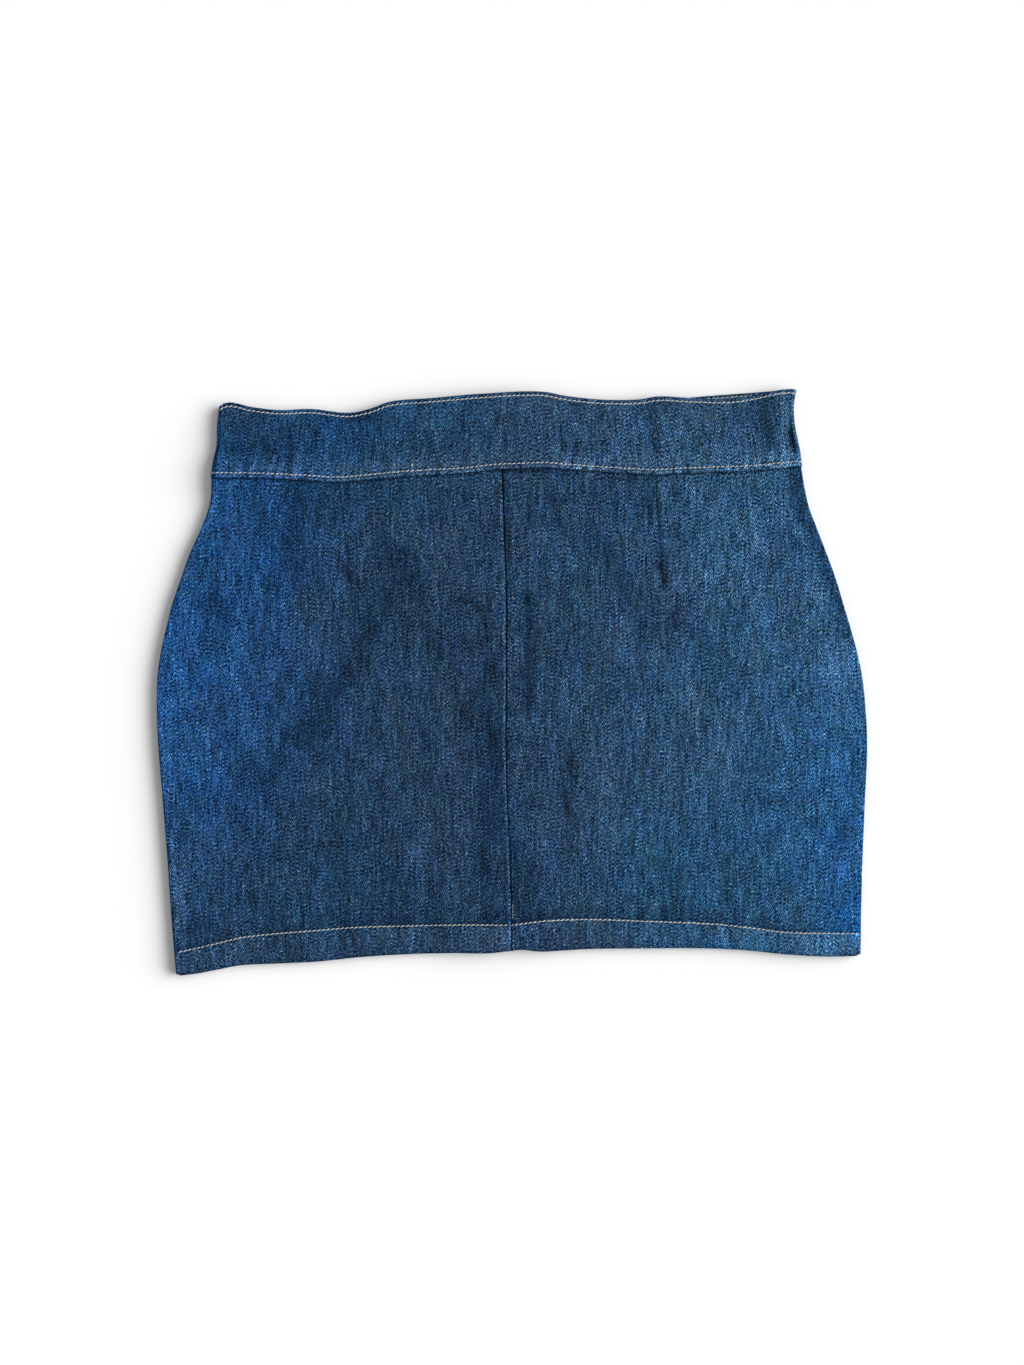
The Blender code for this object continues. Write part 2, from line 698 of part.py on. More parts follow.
def zip_slider():
    """Body inside the skirt, with a fin through the gap between the ends of the band."""
    x, y, z = pivot()
    width, length, thickness = SLIDER
    low = inside_of_back(y) + SEAM_GAP
    high = low + thickness
    edge = SLIDER_BEVEL
    rings = []
    for inset, level in ((edge, low), (0.0, low + edge), (0.0, high - edge), (edge, high)):
        half_x, half_y = width / 2 - inset, length / 2 - inset
        corners = ((-half_x, -half_y), (half_x, -half_y), (half_x, half_y), (-half_x, half_y))
        rings.append([(x + a, y + b, level) for a, b in corners])
    body = solid("zip_slider", rings, METAL, 0.35, 1.0)

    around = [2 * math.pi * n / FIN_SIDES for n in range(FIN_SIDES)]
    hole = [(FIN_HOLE * math.cos(a), FIN_HOLE * math.sin(a)) for a in around]
    reach = FIN_HOLE + FIN_RIM
    into_body = low + thickness / 2 - z
    rim = []
    for n, angle in enumerate(around):
        upper = 0 < n < FIN_SIDES / 2
        rim.append((reach * math.cos(angle), into_body if upper else reach * math.sin(angle)))
    fin = frame_plate(
        "zip_slider_fin", rim, hole,
        lambda a, b, side: (x + side * FIN_THICKNESS / 2, y + a, z + b), METAL, 0.35, 1.0,
    )
    fin.hide_render = True
    fin.display_type = "WIRE"
    join = body.modifiers.new("fin", "BOOLEAN")
    join.operation = "UNION"
    join.solver = "EXACT"
    join.object = fin
    return body


def zip_pull():
    """A drop-shaped tab, its upper bar through the fin's hole and its window round the fin."""
    x, y, z = pivot()
    half_window, window_length = PULL_WINDOW
    inner_top = -PULL_BAR / 2
    centre = inner_top - window_length / 2
    window, outline = [], []
    for n in range(PULL_SIDES):
        angle = 2 * math.pi * (n + 0.5) / PULL_SIDES
        a, b = math.cos(angle), math.sin(angle)
        reach = min(half_window / abs(a), window_length / 2 / abs(b))
        window.append((a * reach, centre + b * reach))
        if b > 0:
            side, end = half_window + PULL_BAR, window_length / 2 + PULL_BAR
        else:
            side, end = PULL_WIDTH / 2, PULL_LENGTH - window_length / 2 - PULL_BAR
        outline.append((a * side, centre + b * end))
    tab = frame_plate(
        "zip_pull", outline, window,
        lambda a, b, side: (a, b, side * PULL_THICKNESS / 2), METAL, 0.35, 1.0,
    )
    tab.location = (x * MM, y * MM, z * MM)
    return tab


def main():
    clear_scene()
    front_left_panel()
    front_right_panel()
    back_panel("back_panel_left", panel_left, -1)
    back_panel("back_panel_right", panel_right, 1)
    dart_take_up("dart_left", left_dart, 1)
    dart_take_up("dart_right", right_dart, -1)
    waistband()
    zip_half("zip_tape_left", -1)
    zip_half("zip_tape_right", 1)
    zip_slider()
    zip_pull()


main()
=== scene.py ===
import math
import random

import bpy
import numpy as np
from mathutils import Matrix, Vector


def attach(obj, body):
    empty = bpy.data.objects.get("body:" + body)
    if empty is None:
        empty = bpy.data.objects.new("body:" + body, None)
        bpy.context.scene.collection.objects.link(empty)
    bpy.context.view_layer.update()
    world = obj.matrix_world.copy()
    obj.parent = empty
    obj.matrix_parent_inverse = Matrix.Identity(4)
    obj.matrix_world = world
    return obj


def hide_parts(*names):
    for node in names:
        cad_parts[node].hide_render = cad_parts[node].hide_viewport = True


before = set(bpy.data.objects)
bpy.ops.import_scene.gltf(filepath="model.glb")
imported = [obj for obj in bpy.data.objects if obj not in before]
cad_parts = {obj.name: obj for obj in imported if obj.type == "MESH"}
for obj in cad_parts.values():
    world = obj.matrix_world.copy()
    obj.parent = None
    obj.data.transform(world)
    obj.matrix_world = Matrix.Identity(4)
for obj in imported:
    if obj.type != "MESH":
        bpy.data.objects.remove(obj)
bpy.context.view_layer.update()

# Denim mini skirt, laid flat on its back. Lengths are in millimetres up to the mesh,
# x across the skirt, y from hem to waist, z up from the table.
mm = 0.001

# how the layers stack, the same as in the solids
sewing = {
    "cloth": 1.0,           # one layer of denim
    "gap": 0.3,             # between layers
    "margin": 9.5,          # turned in along the seams
    "hemTurned": 17.0,      # cloth turned up at the hem
    "slotDepth": 8.5,       # top margin of a panel, inside the band
    "slotClear": 1.0,       # above and beside that margin
    "slotSide": 1.5,
    "bandTaper": 6.0,       # height over which the band's layers close up
    "bandRise": 14.0,       # length over which a panel rises to the band
    "edgeTrim": 0.2,
    "foldSteps": 6,
}
layer = sewing["cloth"] + sewing["gap"]
foldRadius = layer / 2
foldReach = foldRadius + sewing["cloth"] / 2
backLevel = sewing["cloth"] / 2
frontLevel = backLevel + 3 * layer
slotInset = 2.5 * layer + sewing["cloth"] / 2 + sewing["slotSide"]

# level, left edge, right edge of the panels
panelSides = (
    (141, -192.4, 184.4), (120, -192.6, 188.2), (112, -194, 190.2), (97, -199.6, 195.8), (82, -206.4, 201.6),
    (66, -212, 207.4), (51, -217.2, 211.9), (36, -221, 216.4), (20, -224.6, 220.8), (5, -226.8, 224),
    (-15, -227.4, 226.2), (-40, -226.4, 227.42), (-75, -223.6, 226), (-114, -220.5, 224.4),
    (-150, -218, 223.5), (-190, -214.8, 223),
)
# level, left end, right end of the waistband
bandSides = (
    (190, -187, 182.8), (178, -187.6, 180.6), (166, -188.8, 181.1), (151, -189.4, 184), (143, -191.2, 185.2),
    (128, -193.4, 186.6),
)
# place across, level of the band's top edge at the front
frontWaistLine = (
    (-188, 177.4), (-180, 179.2), (-168, 176.5), (-148, 174.2), (-129, 175), (-104, 172.6), (-92, 174.8),
    (-78, 179.6), (-52, 181.8), (-20, 184.4), (21, 185.6), (33, 183.4), (56, 181), (82, 181.2), (93, 183),
    (114, 182), (140, 181.6), (155, 183.8), (167, 186.4), (178, 187.8), (183, 187.4),
)
# the same at the back
backWaistLine = (
    (-188, 176.6), (-148, 172.8), (-104, 171.4), (-78, 177.8), (-20, 182.8), (21, 184.2), (56, 179.8),
    (82, 179.8), (104, 181.6), (121, 183.3), (150, 185.5), (166, 186.7), (178, 187.6), (183, 187.2),
)
# place across, level of the band's lower edge
bandSeamLine = (
    (-193, 130.9), (-165, 130.9), (-134, 129.6), (-113, 128.3), (-93, 129.6), (-73, 131.5), (-52, 132.8),
    (-32, 133.6), (-11, 136), (9, 136.8), (20, 137.2), (40, 136), (60, 134.7), (81, 133.4), (91, 132.8),
    (111, 134), (132, 134.7), (152, 135.4), (173, 137.3), (187, 138.6),
)
# place across, level of the hem's folded edge, depth of the hem
hemLine = (
    (-216, -187.95, 14.6), (-201, -186.2, 16), (-188, -183.7, 16.6), (-175, -181.2, 17.2),
    (-150, -179.9, 18.8), (-124, -178.6, 19.6), (-99, -176, 18.9), (-73, -174.2, 17.9), (-35, -173.1, 17.7),
    (-16, -173.1, 17.8), (-3, -171.9, 16.6), (6, -170.9, 16.8), (18, -172.1, 19.6), (31, -171.6, 19.9),
    (50, -170.6, 19.2), (87, -170.2, 17.6), (125, -170.2, 16), (151, -171.5, 14.8), (176, -174.1, 14.2),
    (202, -175.4, 15), (224, -175, 14.4),
)
# level, place of the centre seam and of the two dart lines
centreSeamLine = (
    (190, -6.4), (133, -6.4), (117, -5.8), (90, -4.9), (52, -3.8), (-62, -3.7), (-88, -2.6), (-114, -1.3),
    (-152, -0.5), (-190, -0.5),
)
leftDartLine = ((190, -113), (129, -111.2), (66, -104.3), (-190, -104.3))
rightDartLine = ((190, 91), (129, 91.8), (58, 96), (-190, 96))
backSeam = -3.0


def tableCurve(rows, column=1):
    # smooth curve through a table's rows, keyed by their first column
    rows = sorted(rows)
    keys = np.array([row[0] for row in rows])
    values = np.array([row[column] for row in rows])
    spans = np.diff(values) / np.diff(keys)
    slopes = np.concatenate((spans[:1], (spans[1:] + spans[:-1]) / 2, spans[-1:]))

    def at(key):
        key = np.clip(key, keys[0], keys[-1])
        i = np.clip(np.searchsorted(keys, key, side="right") - 1, 0, len(keys) - 2)
        width = keys[i + 1] - keys[i]
        t = (key - keys[i]) / width
        start = values[i] * (1 + 2 * t) * (1 - t) ** 2 + slopes[i] * width * t * (1 - t) ** 2
        end = values[i + 1] * (3 - 2 * t) * t ** 2 - slopes[i + 1] * width * t ** 2 * (1 - t)
        return start + end

    return at


panelLeft, panelRight = tableCurve(panelSides, 1), tableCurve(panelSides, 2)
bandLeft, bandRight = tableCurve(bandSides, 1), tableCurve(bandSides, 2)
frontWaist, backWaist = tableCurve(frontWaistLine), tableCurve(backWaistLine)
bandSeam = tableCurve(bandSeamLine)
hemEdge, hemDepth = tableCurve(hemLine, 1), tableCurve(hemLine, 2)
centreSeam = tableCurve(centreSeamLine)
leftDart, rightDart = tableCurve(leftDartLine), tableCurve(rightDartLine)


def mix(a, b, share):
    return a + (b - a) * share


def ease(value):
    value = np.clip(value, 0.0, 1.0)
    return value * value * (3 - 2 * value)


def bell(distance, flat, fade):
    return 1 - ease((np.abs(distance) - flat) / fade)


def swell(distance, halfWidth):
    return np.exp(-(distance / halfWidth) ** 2)


def routeDistance(x, y, route):
    # how far a place is from a line through x, y, x, y and so on
    nearest = np.full(np.shape(x), 1e9)
    for ax, ay, bx, by in zip(route[0::2], route[1::2], route[2::2], route[3::2]):
        dx, dy = bx - ax, by - ay
        along = np.clip(((x - ax) * dx + (y - ay) * dy) / (dx * dx + dy * dy), 0.0, 1.0)
        nearest = np.minimum(nearest, np.hypot(x - ax - along * dx, y - ay - along * dy))
    return nearest


def marks(x, y, rows, column):
    # a column of a table of marks, added up, each fading out over its half width
    return sum(row[column] * swell(routeDistance(x, y, row[-1]), row[0]) for row in rows)


def linkObject(name, data):
    made = bpy.data.objects.new(name, data)
    bpy.context.scene.collection.objects.link(made)
    return made


def newMesh(name, points, faces, materials):
    mesh = bpy.data.meshes.new(name)
    mesh.from_pydata((np.array(points) * mm).tolist(), [], faces)
    for material in materials:
        mesh.materials.append(material)
    return mesh


# the camera looks straight down
shot = {
    "frameHeight": 1365 * 0.64,     # height of the picture on the skirt
    "distance": 1500.0,
    "sensor": 36.0,
    "aimHeight": 4.0,
    "clipEnd": 20.0,                # in metres
}
cameraData = bpy.data.cameras.new("overheadCamera")
cameraData.sensor_width = shot["sensor"]
cameraData.lens = shot["sensor"] * shot["distance"] / shot["frameHeight"]
cameraData.clip_end = shot["clipEnd"]
camera = linkObject("overheadCamera", cameraData)
camera.location = (0.0, 0.0, (shot["distance"] + shot["aimHeight"]) * mm)
bpy.context.scene.camera = camera

lighting = {
    "elevation": 21.0,      # broad soft light, low at the right
    "turn": 7.0,            # and a little from the waist's side
    "spread": 58.0,
    "sunStrength": 3.08,
    "glow": 9.15,           # the wide part of the same light
    "glowHeight": 20.0,
    "glowTall": 15.0,
    "glowWide": 30.0,
    "fill": 0.37,
}
sunData = bpy.data.lights.new("broadSoftLight", "SUN")
sunData.angle = math.radians(lighting["spread"])
sunData.energy = lighting["sunStrength"]
sun = linkObject("broadSoftLight", sunData)
lift, turn = math.radians(lighting["elevation"]), math.radians(lighting["turn"])
towardsLight = Vector((math.cos(lift) * math.cos(turn), math.cos(lift) * math.sin(turn), math.sin(lift)))
sun.rotation_mode = "QUATERNION"
sun.rotation_quaternion = towardsLight.to_track_quat("Z", "Y")

mathSigns = {"+": "ADD", "-": "SUBTRACT", "*": "MULTIPLY", "/": "DIVIDE", "*+": "MULTIPLY_ADD",
             ">": "GREATER_THAN"}


def feed(tree, sockets, values):
    # a value is a number, a color, another node's output, or a sum such as ("+", a, b)
    for socket, value in values.items():
        if isinstance(value, tuple) and isinstance(value[0], str):
            value = calc(tree, *value)
        if isinstance(value, bpy.types.NodeSocket):
            tree.links.new(value, sockets[socket])
        else:
            sockets[socket].default_value = value


def addNode(tree, kind, values=None, **settings):
    node = tree.nodes.new("ShaderNode" + kind)
    for name, value in settings.items():
        setattr(node, name, value)
    feed(tree, node.inputs, values or {})
    return node.outputs


def calc(tree, sign, *values):
    return addNode(tree, "Math", dict(enumerate(values)), operation=mathSigns.get(sign, sign))[0]


def centred(value):
    return ("-", value, 0.5)


world = bpy.data.worlds.new("studio")
world.use_nodes = True
worldTree = world.node_tree
direction = addNode(worldTree, "SeparateXYZ", {0: addNode(worldTree, "TexCoord")["Generated"]})
glowTurn, glowLift = ("ARCTAN2", direction[1], direction[0]), ("ARCSINE", direction[2])
aside = calc(worldTree, "/", ("-", glowTurn, turn), math.radians(lighting["glowWide"]))
above = calc(worldTree, "/", ("-", glowLift, math.radians(lighting["glowHeight"])),
             math.radians(lighting["glowTall"]))
glow = ("EXPONENT", ("*", ("+", ("*", aside, aside), ("*", above, above)), -1.0))
feed(worldTree, worldTree.nodes["Background"].inputs,
     {"Color": (1.0, 1.0, 1.0, 1.0), "Strength": ("*+", glow, lighting["glow"], lighting["fill"])})
bpy.context.scene.world = world
bpy.context.scene.view_settings.view_transform = "Standard"
bpy.context.scene.view_settings.look = "None"
bpy.context.scene.cycles.denoising_prefilter = "NONE"     # keeps the weave
print("camera and lights ready")


liftOverZip = {
    "flat": 10.0,           # lifted this far beside the back seam
    "fade": 26.0,
    "frontFade": 62.0,
    "back": 2.1,            # room for the pull, the coil and the slider
    "low": 2.1,
    "top": 2.8,
    "from": 10.0,           # levels above the band's lower edge
    "full": 24.0,
    "runOut": 44.0,
}

# the same troughs and swellings as the solids have: half width, height, route
mainCreases = (
    (2.5, -0.3, (-111, 127, -105, 72)), (4.5, -0.5, (-105.4, 78, -104, 62)),
    (2.5, -0.3, (91.9, 127, 94.6, 76)), (4, -0.4, (94.6, 74, 96.4, 60)),
    (17, -1.5, (-77, 84, -99, 29, -121, 6, -137, -29, -170, -63)),
    (10, -0.3, (-52, 21, -32, -18, -21, -40, -22, -110)), (8, -0.5, (-33, 51, -22, 40, -21, 20)),
    (8, -1, (17, 27, 17, -14)), (9, -0.9, (34, -31, 34, -101)), (26, 0.7, (114, 5, 114, -35)),
    (24, 0.6, (-150, 90, -185, 20)), (24, 0.6, (-60, -60, -95, -120)), (20, 0.5, (70, 60, 60, 10)),
    (22, 0.6, (150, -90, 170, -130)),
)
# small wrinkles: half width, height, tone (painted shade in the troughs, painted highlight on the ridges),
# route
fineCreases = (
    # left of the centre seam
    (2.1, -0.4, -0.62, (-106.4, 73, -104.6, 65)), (1.8, -0.2, -0.28, (-105.8, 88, -105.2, 82)),
    (9, -0.5, -0.26, (-80, 83, -62, 67)), (8.5, -0.3, -0.28, (-75, 63, -89, 39, -95, 17, -109, 1, -121, -13)),
    (8, -0.4, -0.28, (-127, -26, -142, -32)), (7, -0.3, -0.2, (-152, -50, -162, -66)),
    (2.2, -0.6, -0.4, (-37, 52.5, -28, 51.5, -20.5, 47, -16.5, 36, -16, 27)),
    (3.2, -0.2, -0.14, (-16, 27, -17.3, -24)), (5.5, -0.3, -0.34, (-13, -29, -13, -68)),
    (3.5, -0.2, -0.2, (-15.4, -75, -15.4, -101)), (3.5, -0.25, -0.18, (-52.5, -37, -54, -69)),
    (3.5, -0.15, -0.14, (-68.5, -75, -68.5, -95)), (4, -0.25, -0.18, (-38, -3, -32, -28)),
    (6, -0.3, -0.18, (-139, 123, -143, 100, -147, 78)), (5, -0.2, -0.14, (-172, 72, -168, 60)),
    (6, -0.2, -0.14, (-204, 51, -184, 44)), (3.5, -0.2, -0.2, (-212.5, -63, -211.5, -108)),
    (6, -0.2, -0.18, (-202, -155, -190, -157)), (2.5, -0.2, -0.18, (-18, 92, -17, 78)),
    (1.7, 0.2, 0.26, (-97.5, 72, -96.5, 66)), (6, 0.25, 0.14, (-75, 100, -74, 92)),
    (6, 0.25, 0.12, (-129, 28, -130, 13)), (8, 0.25, 0.16, (-58, -112, -54, -117)),
    (4, 0.1, 0.14, (-222, -25, -221, -48)),
    # right of it
    (2.4, -0.4, -0.36, (24, 117.5, 32, 116.5, 40, 116.5)), (2.3, -0.3, -0.46, (93.6, 76, 98, 62)),
    (4, -0.6, -0.46, (102.5, 44, 104.5, 37)), (4.2, -0.35, -0.55, (9.5, 54, 12, 28, 11.5, 5, 9.5, -18)),
    (3, -0.15, -0.14, (8.5, 80, 10, 52)), (4, -0.1, -0.12, (11, -38, 12, -54)),
    (4.2, -0.3, -0.18, (34, -37, 36.5, -63, 31, -100, 28, -135)), (2.8, -0.1, -0.3, (1.8, -104, 1.4, -143)),
    (3, -0.2, -0.18, (98, -127, 98, -150)), (6, -0.25, -0.15, (107, -32, 108, -44)),
    (9, -0.45, -0.18, (56, 86, 78, 60, 99, 38, 125, 18, 141, 3)), (8, -0.3, -0.18, (86, 121, 92, 95, 95, 72)),
    (12, -0.3, -0.1, (122, 42, 135, -5)), (14, -0.4, -0.1, (14, 106, 50, 92)),
    (3, 0.25, 0.24, (88.3, 19, 89.5, 12)), (2.8, 0.3, 0.2, (108, 27, 114, 0, 118.5, -24)),
    (2.2, 0.2, 0.18, (178, 110, 188, 88)), (3, -0.2, -0.18, (181, 92, 184.5, 80)),
    (3, -0.15, -0.18, (219, -50, 219, -70)), (5, -0.2, -0.12, (172, -88, 168, -96)),
    (9, 0.3, 0.1, (146, 27, 165, 2)), (7, 0.25, 0.06, (120, -60, 124, -140)),
    (7, -0.1, -0.24, (9, -114, 8.5, -168)),
    # and a few more on both sides
    (9, 0.1, 0.16, (60, -50, 61, -98)), (1.8, -0.2, -0.36, (-186.3, 121, -186, 109)),
    (2.4, -0.3, -0.26, (-72, 86, -60, 77)), (2, -0.2, -0.26, (-15, 78, -15.5, 46)),
    # pressed marks under the waistband
    (1.6, -0.15, -0.34, (-8, 134.4, 14, 134.4, 43, 133.2)), (1.5, -0.15, -0.34, (63, 130.8, 90, 129.6)),
)
# places painted lighter or darker with no relief, as painted light and shade on the cloth's folds: half
# width, tone, route
panelPaintedLightAndShade = (
    (10, 0.2, (-34, 0, -35, -132)), (15, -0.14, (22, 62, 20, -50)), (9, 0.2, (-42, 102, -41, 62)),
    (7, -0.2, (-116, 10, -119, 4)), (9, -0.15, (-140, 5, -139, -40)), (9, -0.2, (-112, -46, -109, -58)),
    (9, -0.17, (-161, -45, -161, -60)), (9, -0.15, (-90, 66, -88, 52)), (7, -0.22, (-52, 26, -51, 12)),
    (5, -0.2, (-8, -32, -8, -100)), (7, -0.18, (31, -55, 31, -68)), (8, -0.22, (-67, -132, -66, -144)),
    (9, -0.2, (141, 36, 142, 28)), (7, -0.2, (24, 120, 30, 104)), (5, -0.22, (88, 122, 89, 108)),
    (9, -0.26, (-202, -70, -198, -80)), (8, -0.2, (172, -124, 186, -126)), (9, -0.28, (208, -90, 212, -98)),
    (9, 0.15, (178, 56, 180, 50)), (14, 0.1, (205, 50, 214, -10)), (11, 0.12, (135, -166, 222, -168)),
    (34, -0.16, (62, 100, 78, 12)), (16, 0.13, (-183, 118, -180, 76)), (8, -0.2, (-204, -175, -112, -169)),
    (1.4, 0.65, (-189.5, 120, -192.5, 108, -198, 97)), (8, 0.22, (-174, 104, -174, 91)),
    (6, 0.2, (-134, 54, -134, 46)), (8, 0.22, (-95, 15, -91, 8)), (7, 0.24, (-67, -37, -67, -53)),
    (7, 0.15, (-123, -58, -124, -82)), (6, 0.18, (-52, -78, -52.5, -96)), (6, 0.12, (-26, -56, -6, -57)),
    (7, 0.16, (43.5, -68, 44.5, -106)), (6, 0.15, (103, -42, 103.5, -98)), (8, 0.13, (88, -52, 88, -60)),
    (10, 0.14, (134, -50, 136, -62)), (8, 0.16, (140, -122, 144, -128)), (7, 0.22, (153, 92, 164, 80)),
    (11, 0.14, (189, 64, 189, 54)), (10, 0.14, (208, 38, 208, -18)), (5, 0.2, (120, -8, 120.5, -18)),
    (5, 0.16, (22, 30, 23, 4)), (8, 0.16, (44, 107, 64, 95)), (8, 0.2, (-58, 122, -36, 121)),
    (6, 0.14, (-75, 120, -73, 110)), (4.5, 0.6, (-205, 92, -211, 70)),
    (3.5, 0.42, (-214.5, -120, -213, -152)), (8, 0.16, (-195, -15, -195, -26)),
    (7, 0.14, (-160, -124, -137, -126)), (8, -0.2, (146, 121, 168, 113)),
    (12, -0.2, (60, 68, 78, 46, 88, 26)), (8, -0.14, (146, 36, 170, 26)), (7, -0.2, (-33, 40, -34, 30)),
    (5, -0.14, (-20.5, 10, -20, -42)), (6, -0.16, (-59, -12, -59, -24)), (6, -0.16, (-102, 38, -102, 28)),
    (9, -0.16, (-159, 66, -159, 60)), (7, -0.12, (-170, -52, -171, -98)), (8, -0.2, (-160, -104, -158, -107)),
    (6, -0.15, (-99, -100, -99, -110)), (7, -0.2, (-66, -122, -65, -128)), (10, -0.22, (16, -124, 28, -148)),
    (7, -0.18, (125, -134, 125, -141)), (5, -0.18, (128, -164, 138, -169)), (7, -0.18, (-9, -134, -9, -146)),
    (8, -0.13, (126, 104, 140, 88)), (9, -0.13, (209, -62, 214, -84)), (8, -0.16, (-96, -167, -62, -165)),
    (8, -0.32, (4, -163, 24, -163)), (8, -0.12, (98, -164, 135, -165)), (7, 0.24, (186, -168, 222, -169)),
)
# the same two tables for the waistband, whose tones are painted light and shade as well
bandCreases = (
    (4, -0.35, -0.22, (-187, 150.5, -165, 149.5, -142, 149.5)), (4, -0.25, -0.14, (-180, 165, -180, 151)),
    (4.5, -0.3, -0.22, (-97, 173, -87, 168)), (2.8, -0.35, -0.28, (-90, 158, -88.5, 145)),
    (3.2, -0.2, -0.16, (-56, 161, -55, 155)), (3, -0.35, -0.3, (-18.5, 159, -16.5, 143)),
    (3, 0.3, 0.18, (-8, 150, -6.5, 142)), (5, 0.25, 0.12, (-136, 170, -134, 160)),
    (2.6, -0.25, -0.2, (31.5, 164, 30.5, 155)), (3, -0.4, -0.28, (86.5, 179, 88, 165, 89.5, 154)),
    (2.8, -0.25, -0.22, (114, 154, 114, 147)), (4.8, -0.1, -0.34, (160, 182, 163, 168, 166, 150)),
    (4.6, 0.6, 0, (169.5, 182, 171, 150)), (2.6, -0.45, -0.3, (178.3, 180, 179.5, 150)),
)
bandPaintedLightAndShade = (
    (2.2, 0.34, (173.6, 184, 175, 150)), (2.6, -0.5, (181, 176, 182.5, 150)), (6, 0.2, (-40, 179, 31, 180)),
    (6, -0.34, (-112, 171, -93, 173)), (9, -0.16, (-132, 155, -96, 152)), (5, -0.14, (-175, 143, -140, 141)),
    (8, -0.22, (36, 150, 52, 145)), (8, -0.16, (144, 168, 146, 146)), (5, -0.5, (179, 160, 185, 141)),
    (9, -0.12, (160, 182, 160, 150)), (9, 0.3, (-55, 170, -50, 166)), (7, 0.14, (86, 168, 88, 166)),
    (7, 0.2, (110, 171, 128, 170)), (8, 0.18, (14, 166, 10, 160)), (6, -0.3, (34, 148, 60, 147)),
)
# place across, half width, height of the band's upright waves
bandWaves = ((-150, 16, 0.4), (-104, 12, -0.4), (-60, 18, 0.3), (58, 14, 0.3), (118, 12, 0.3))
bandDrop = 0.8


def aboveBandSeam(x, y):
    return y - bandSeam(x)


def aboveHemLine(x, y):
    return y - hemEdge(x) - hemDepth(x)


def fromSides(x, y):
    return np.minimum(x - panelLeft(y), panelRight(y) - x)


def zipLift(x, y, low, top, fade="frontFade"):
    above = aboveBandSeam(x, y)
    share = ease((above - liftOverZip["from"]) / (liftOverZip["full"] - liftOverZip["from"]))
    beside = bell(x - backSeam, liftOverZip["flat"], liftOverZip[fade])
    return mix(low, top, share) * beside * bell(np.minimum(above, 0.0), 0.0, liftOverZip["runOut"])


def bandClosing(x, y):
    return ease((aboveBandSeam(x, y) - sewing["slotDepth"] - sewing["slotClear"]) / sewing["bandTaper"])


def bandLayer(x, y):
    return mix(layer, foldRadius, bandClosing(x, y))


def riseToBand(x, y):
    return layer * ease((aboveBandSeam(x, y) + sewing["bandRise"] + 2.0) / sewing["bandRise"])


def backHeight(x, y):
    return backLevel + riseToBand(x, y)


def backBandHeight(x, y):
    return backLevel + bandLayer(x, y) + zipLift(x, y, 0.0, liftOverZip["back"], "fade")


def creaseHeight(x, y, creases, edge=12.0, fade=26.0, seam=10.0):
    # creases run out towards the sides, the hem, the band and the centre seam
    ends = np.minimum(aboveHemLine(x, y), -aboveBandSeam(x, y))
    inside = ease((fromSides(x, y) - edge) / fade) * ease(ends / edge)
    return marks(x, y, creases, 1) * inside * ease((np.abs(x - centreSeam(y)) - seam) / seam)


def frontHeight(x, y):
    lifted = zipLift(x, y, liftOverZip["low"], liftOverZip["top"])
    return frontLevel + riseToBand(x, y) + lifted + creaseHeight(x, y, mainCreases)


def frontBandHeight(x, y):
    waves = sum(height * swell(x - place, width) for place, width, height in bandWaves)
    lifted = zipLift(x, y, liftOverZip["low"], liftOverZip["top"])
    return frontLevel + layer + lifted + bandClosing(x, y) * (waves - bandDrop)


centreSeamForm = {
    "start": 14.0,          # below the band, where the seam has its full form
    "clear": 2.0,
    "step": 0.35,           # rise over the pressed margins
    "plateau": 10.5,
    "fade": 46.0,
    "shoulder": 2.15,       # the right side falls away under the left one
    "shoulderRise": 0.85,
    "shoulderFade": 42.0,
    "roll": 0.35,           # rounding of the folded edge
    "rollReach": 2.4,
}


def seamPresence(x, y):
    clear = centreSeamForm["clear"]
    return ease((-aboveBandSeam(x, y) - clear) / (centreSeamForm["start"] - clear))


def frontLeftHeight(x, y):
    past = x - centreSeam(y)
    beside = bell(past, centreSeamForm["plateau"], centreSeamForm["fade"])
    lifted = (centreSeamForm["step"] + 2 * layer) * beside
    lifted -= centreSeamForm["roll"] * bell(past, 0.0, centreSeamForm["rollReach"])
    return frontHeight(x, y) + lifted * seamPresence(x, y)


def frontRightHeight(x, y):
    past = x - centreSeam(y)
    rise = centreSeamForm["step"] * bell(past, centreSeamForm["plateau"], centreSeamForm["fade"])
    shoulder = centreSeamForm["shoulder"] * ease(past / centreSeamForm["shoulderRise"])
    shoulder = shoulder * bell(past, centreSeamForm["shoulderRise"], centreSeamForm["shoulderFade"])
    return frontHeight(x, y) + (rise + shoulder) * seamPresence(x, y)


pucker = {
    "seed": 11,
    "pitch": 5.6,
    "jitter": 0.7,
    "width": (0.8, 2.0),
    "steepness": (0.18, 0.44),
    "length": (8.0, 20.0),
    "lean": 0.30,
    "cluster": 17.0,        # they come and go over this length
    "upper": 0.8,           # share of it below the band, above the hem line and in the hem
    "aboveHem": 0.45,
    "inHem": 1.0,
    "wearAndHighlight": 0.8,            # its tops are rubbed paler and get a painted highlight
    "hemWearAndHighlight": 0.45,
}
softWaves = (   # wavelength across, wavelength along, phase, height
    (31.0, 260.0, 0.4, 0.16), (47.0, -190.0, 2.1, 0.20), (19.0, 150.0, 4.0, 0.07), (73.0, 120.0, 1.2, 0.22),
    (12.5, -95.0, 5.1, 0.035), (-150.0, 58.0, 3.3, 0.14),
)


def makePuckers(seed, start, end):
    # uneven little gathers along a line of stitches, in clusters: place, half width, height, length
    dice = random.Random(seed)
    found, place = [], start
    while place < end:
        place += pucker["pitch"] * (1 + pucker["jitter"] * (dice.random() - 0.5) * 2)
        width = dice.uniform(*pucker["width"])
        strength = 0.45 + 0.9 * ease(0.5 + math.sin(place / pucker["cluster"] + seed))
        found.append((place, width, strength * width * dice.uniform(*pucker["steepness"]),
                      dice.uniform(*pucker["length"])))
    return found


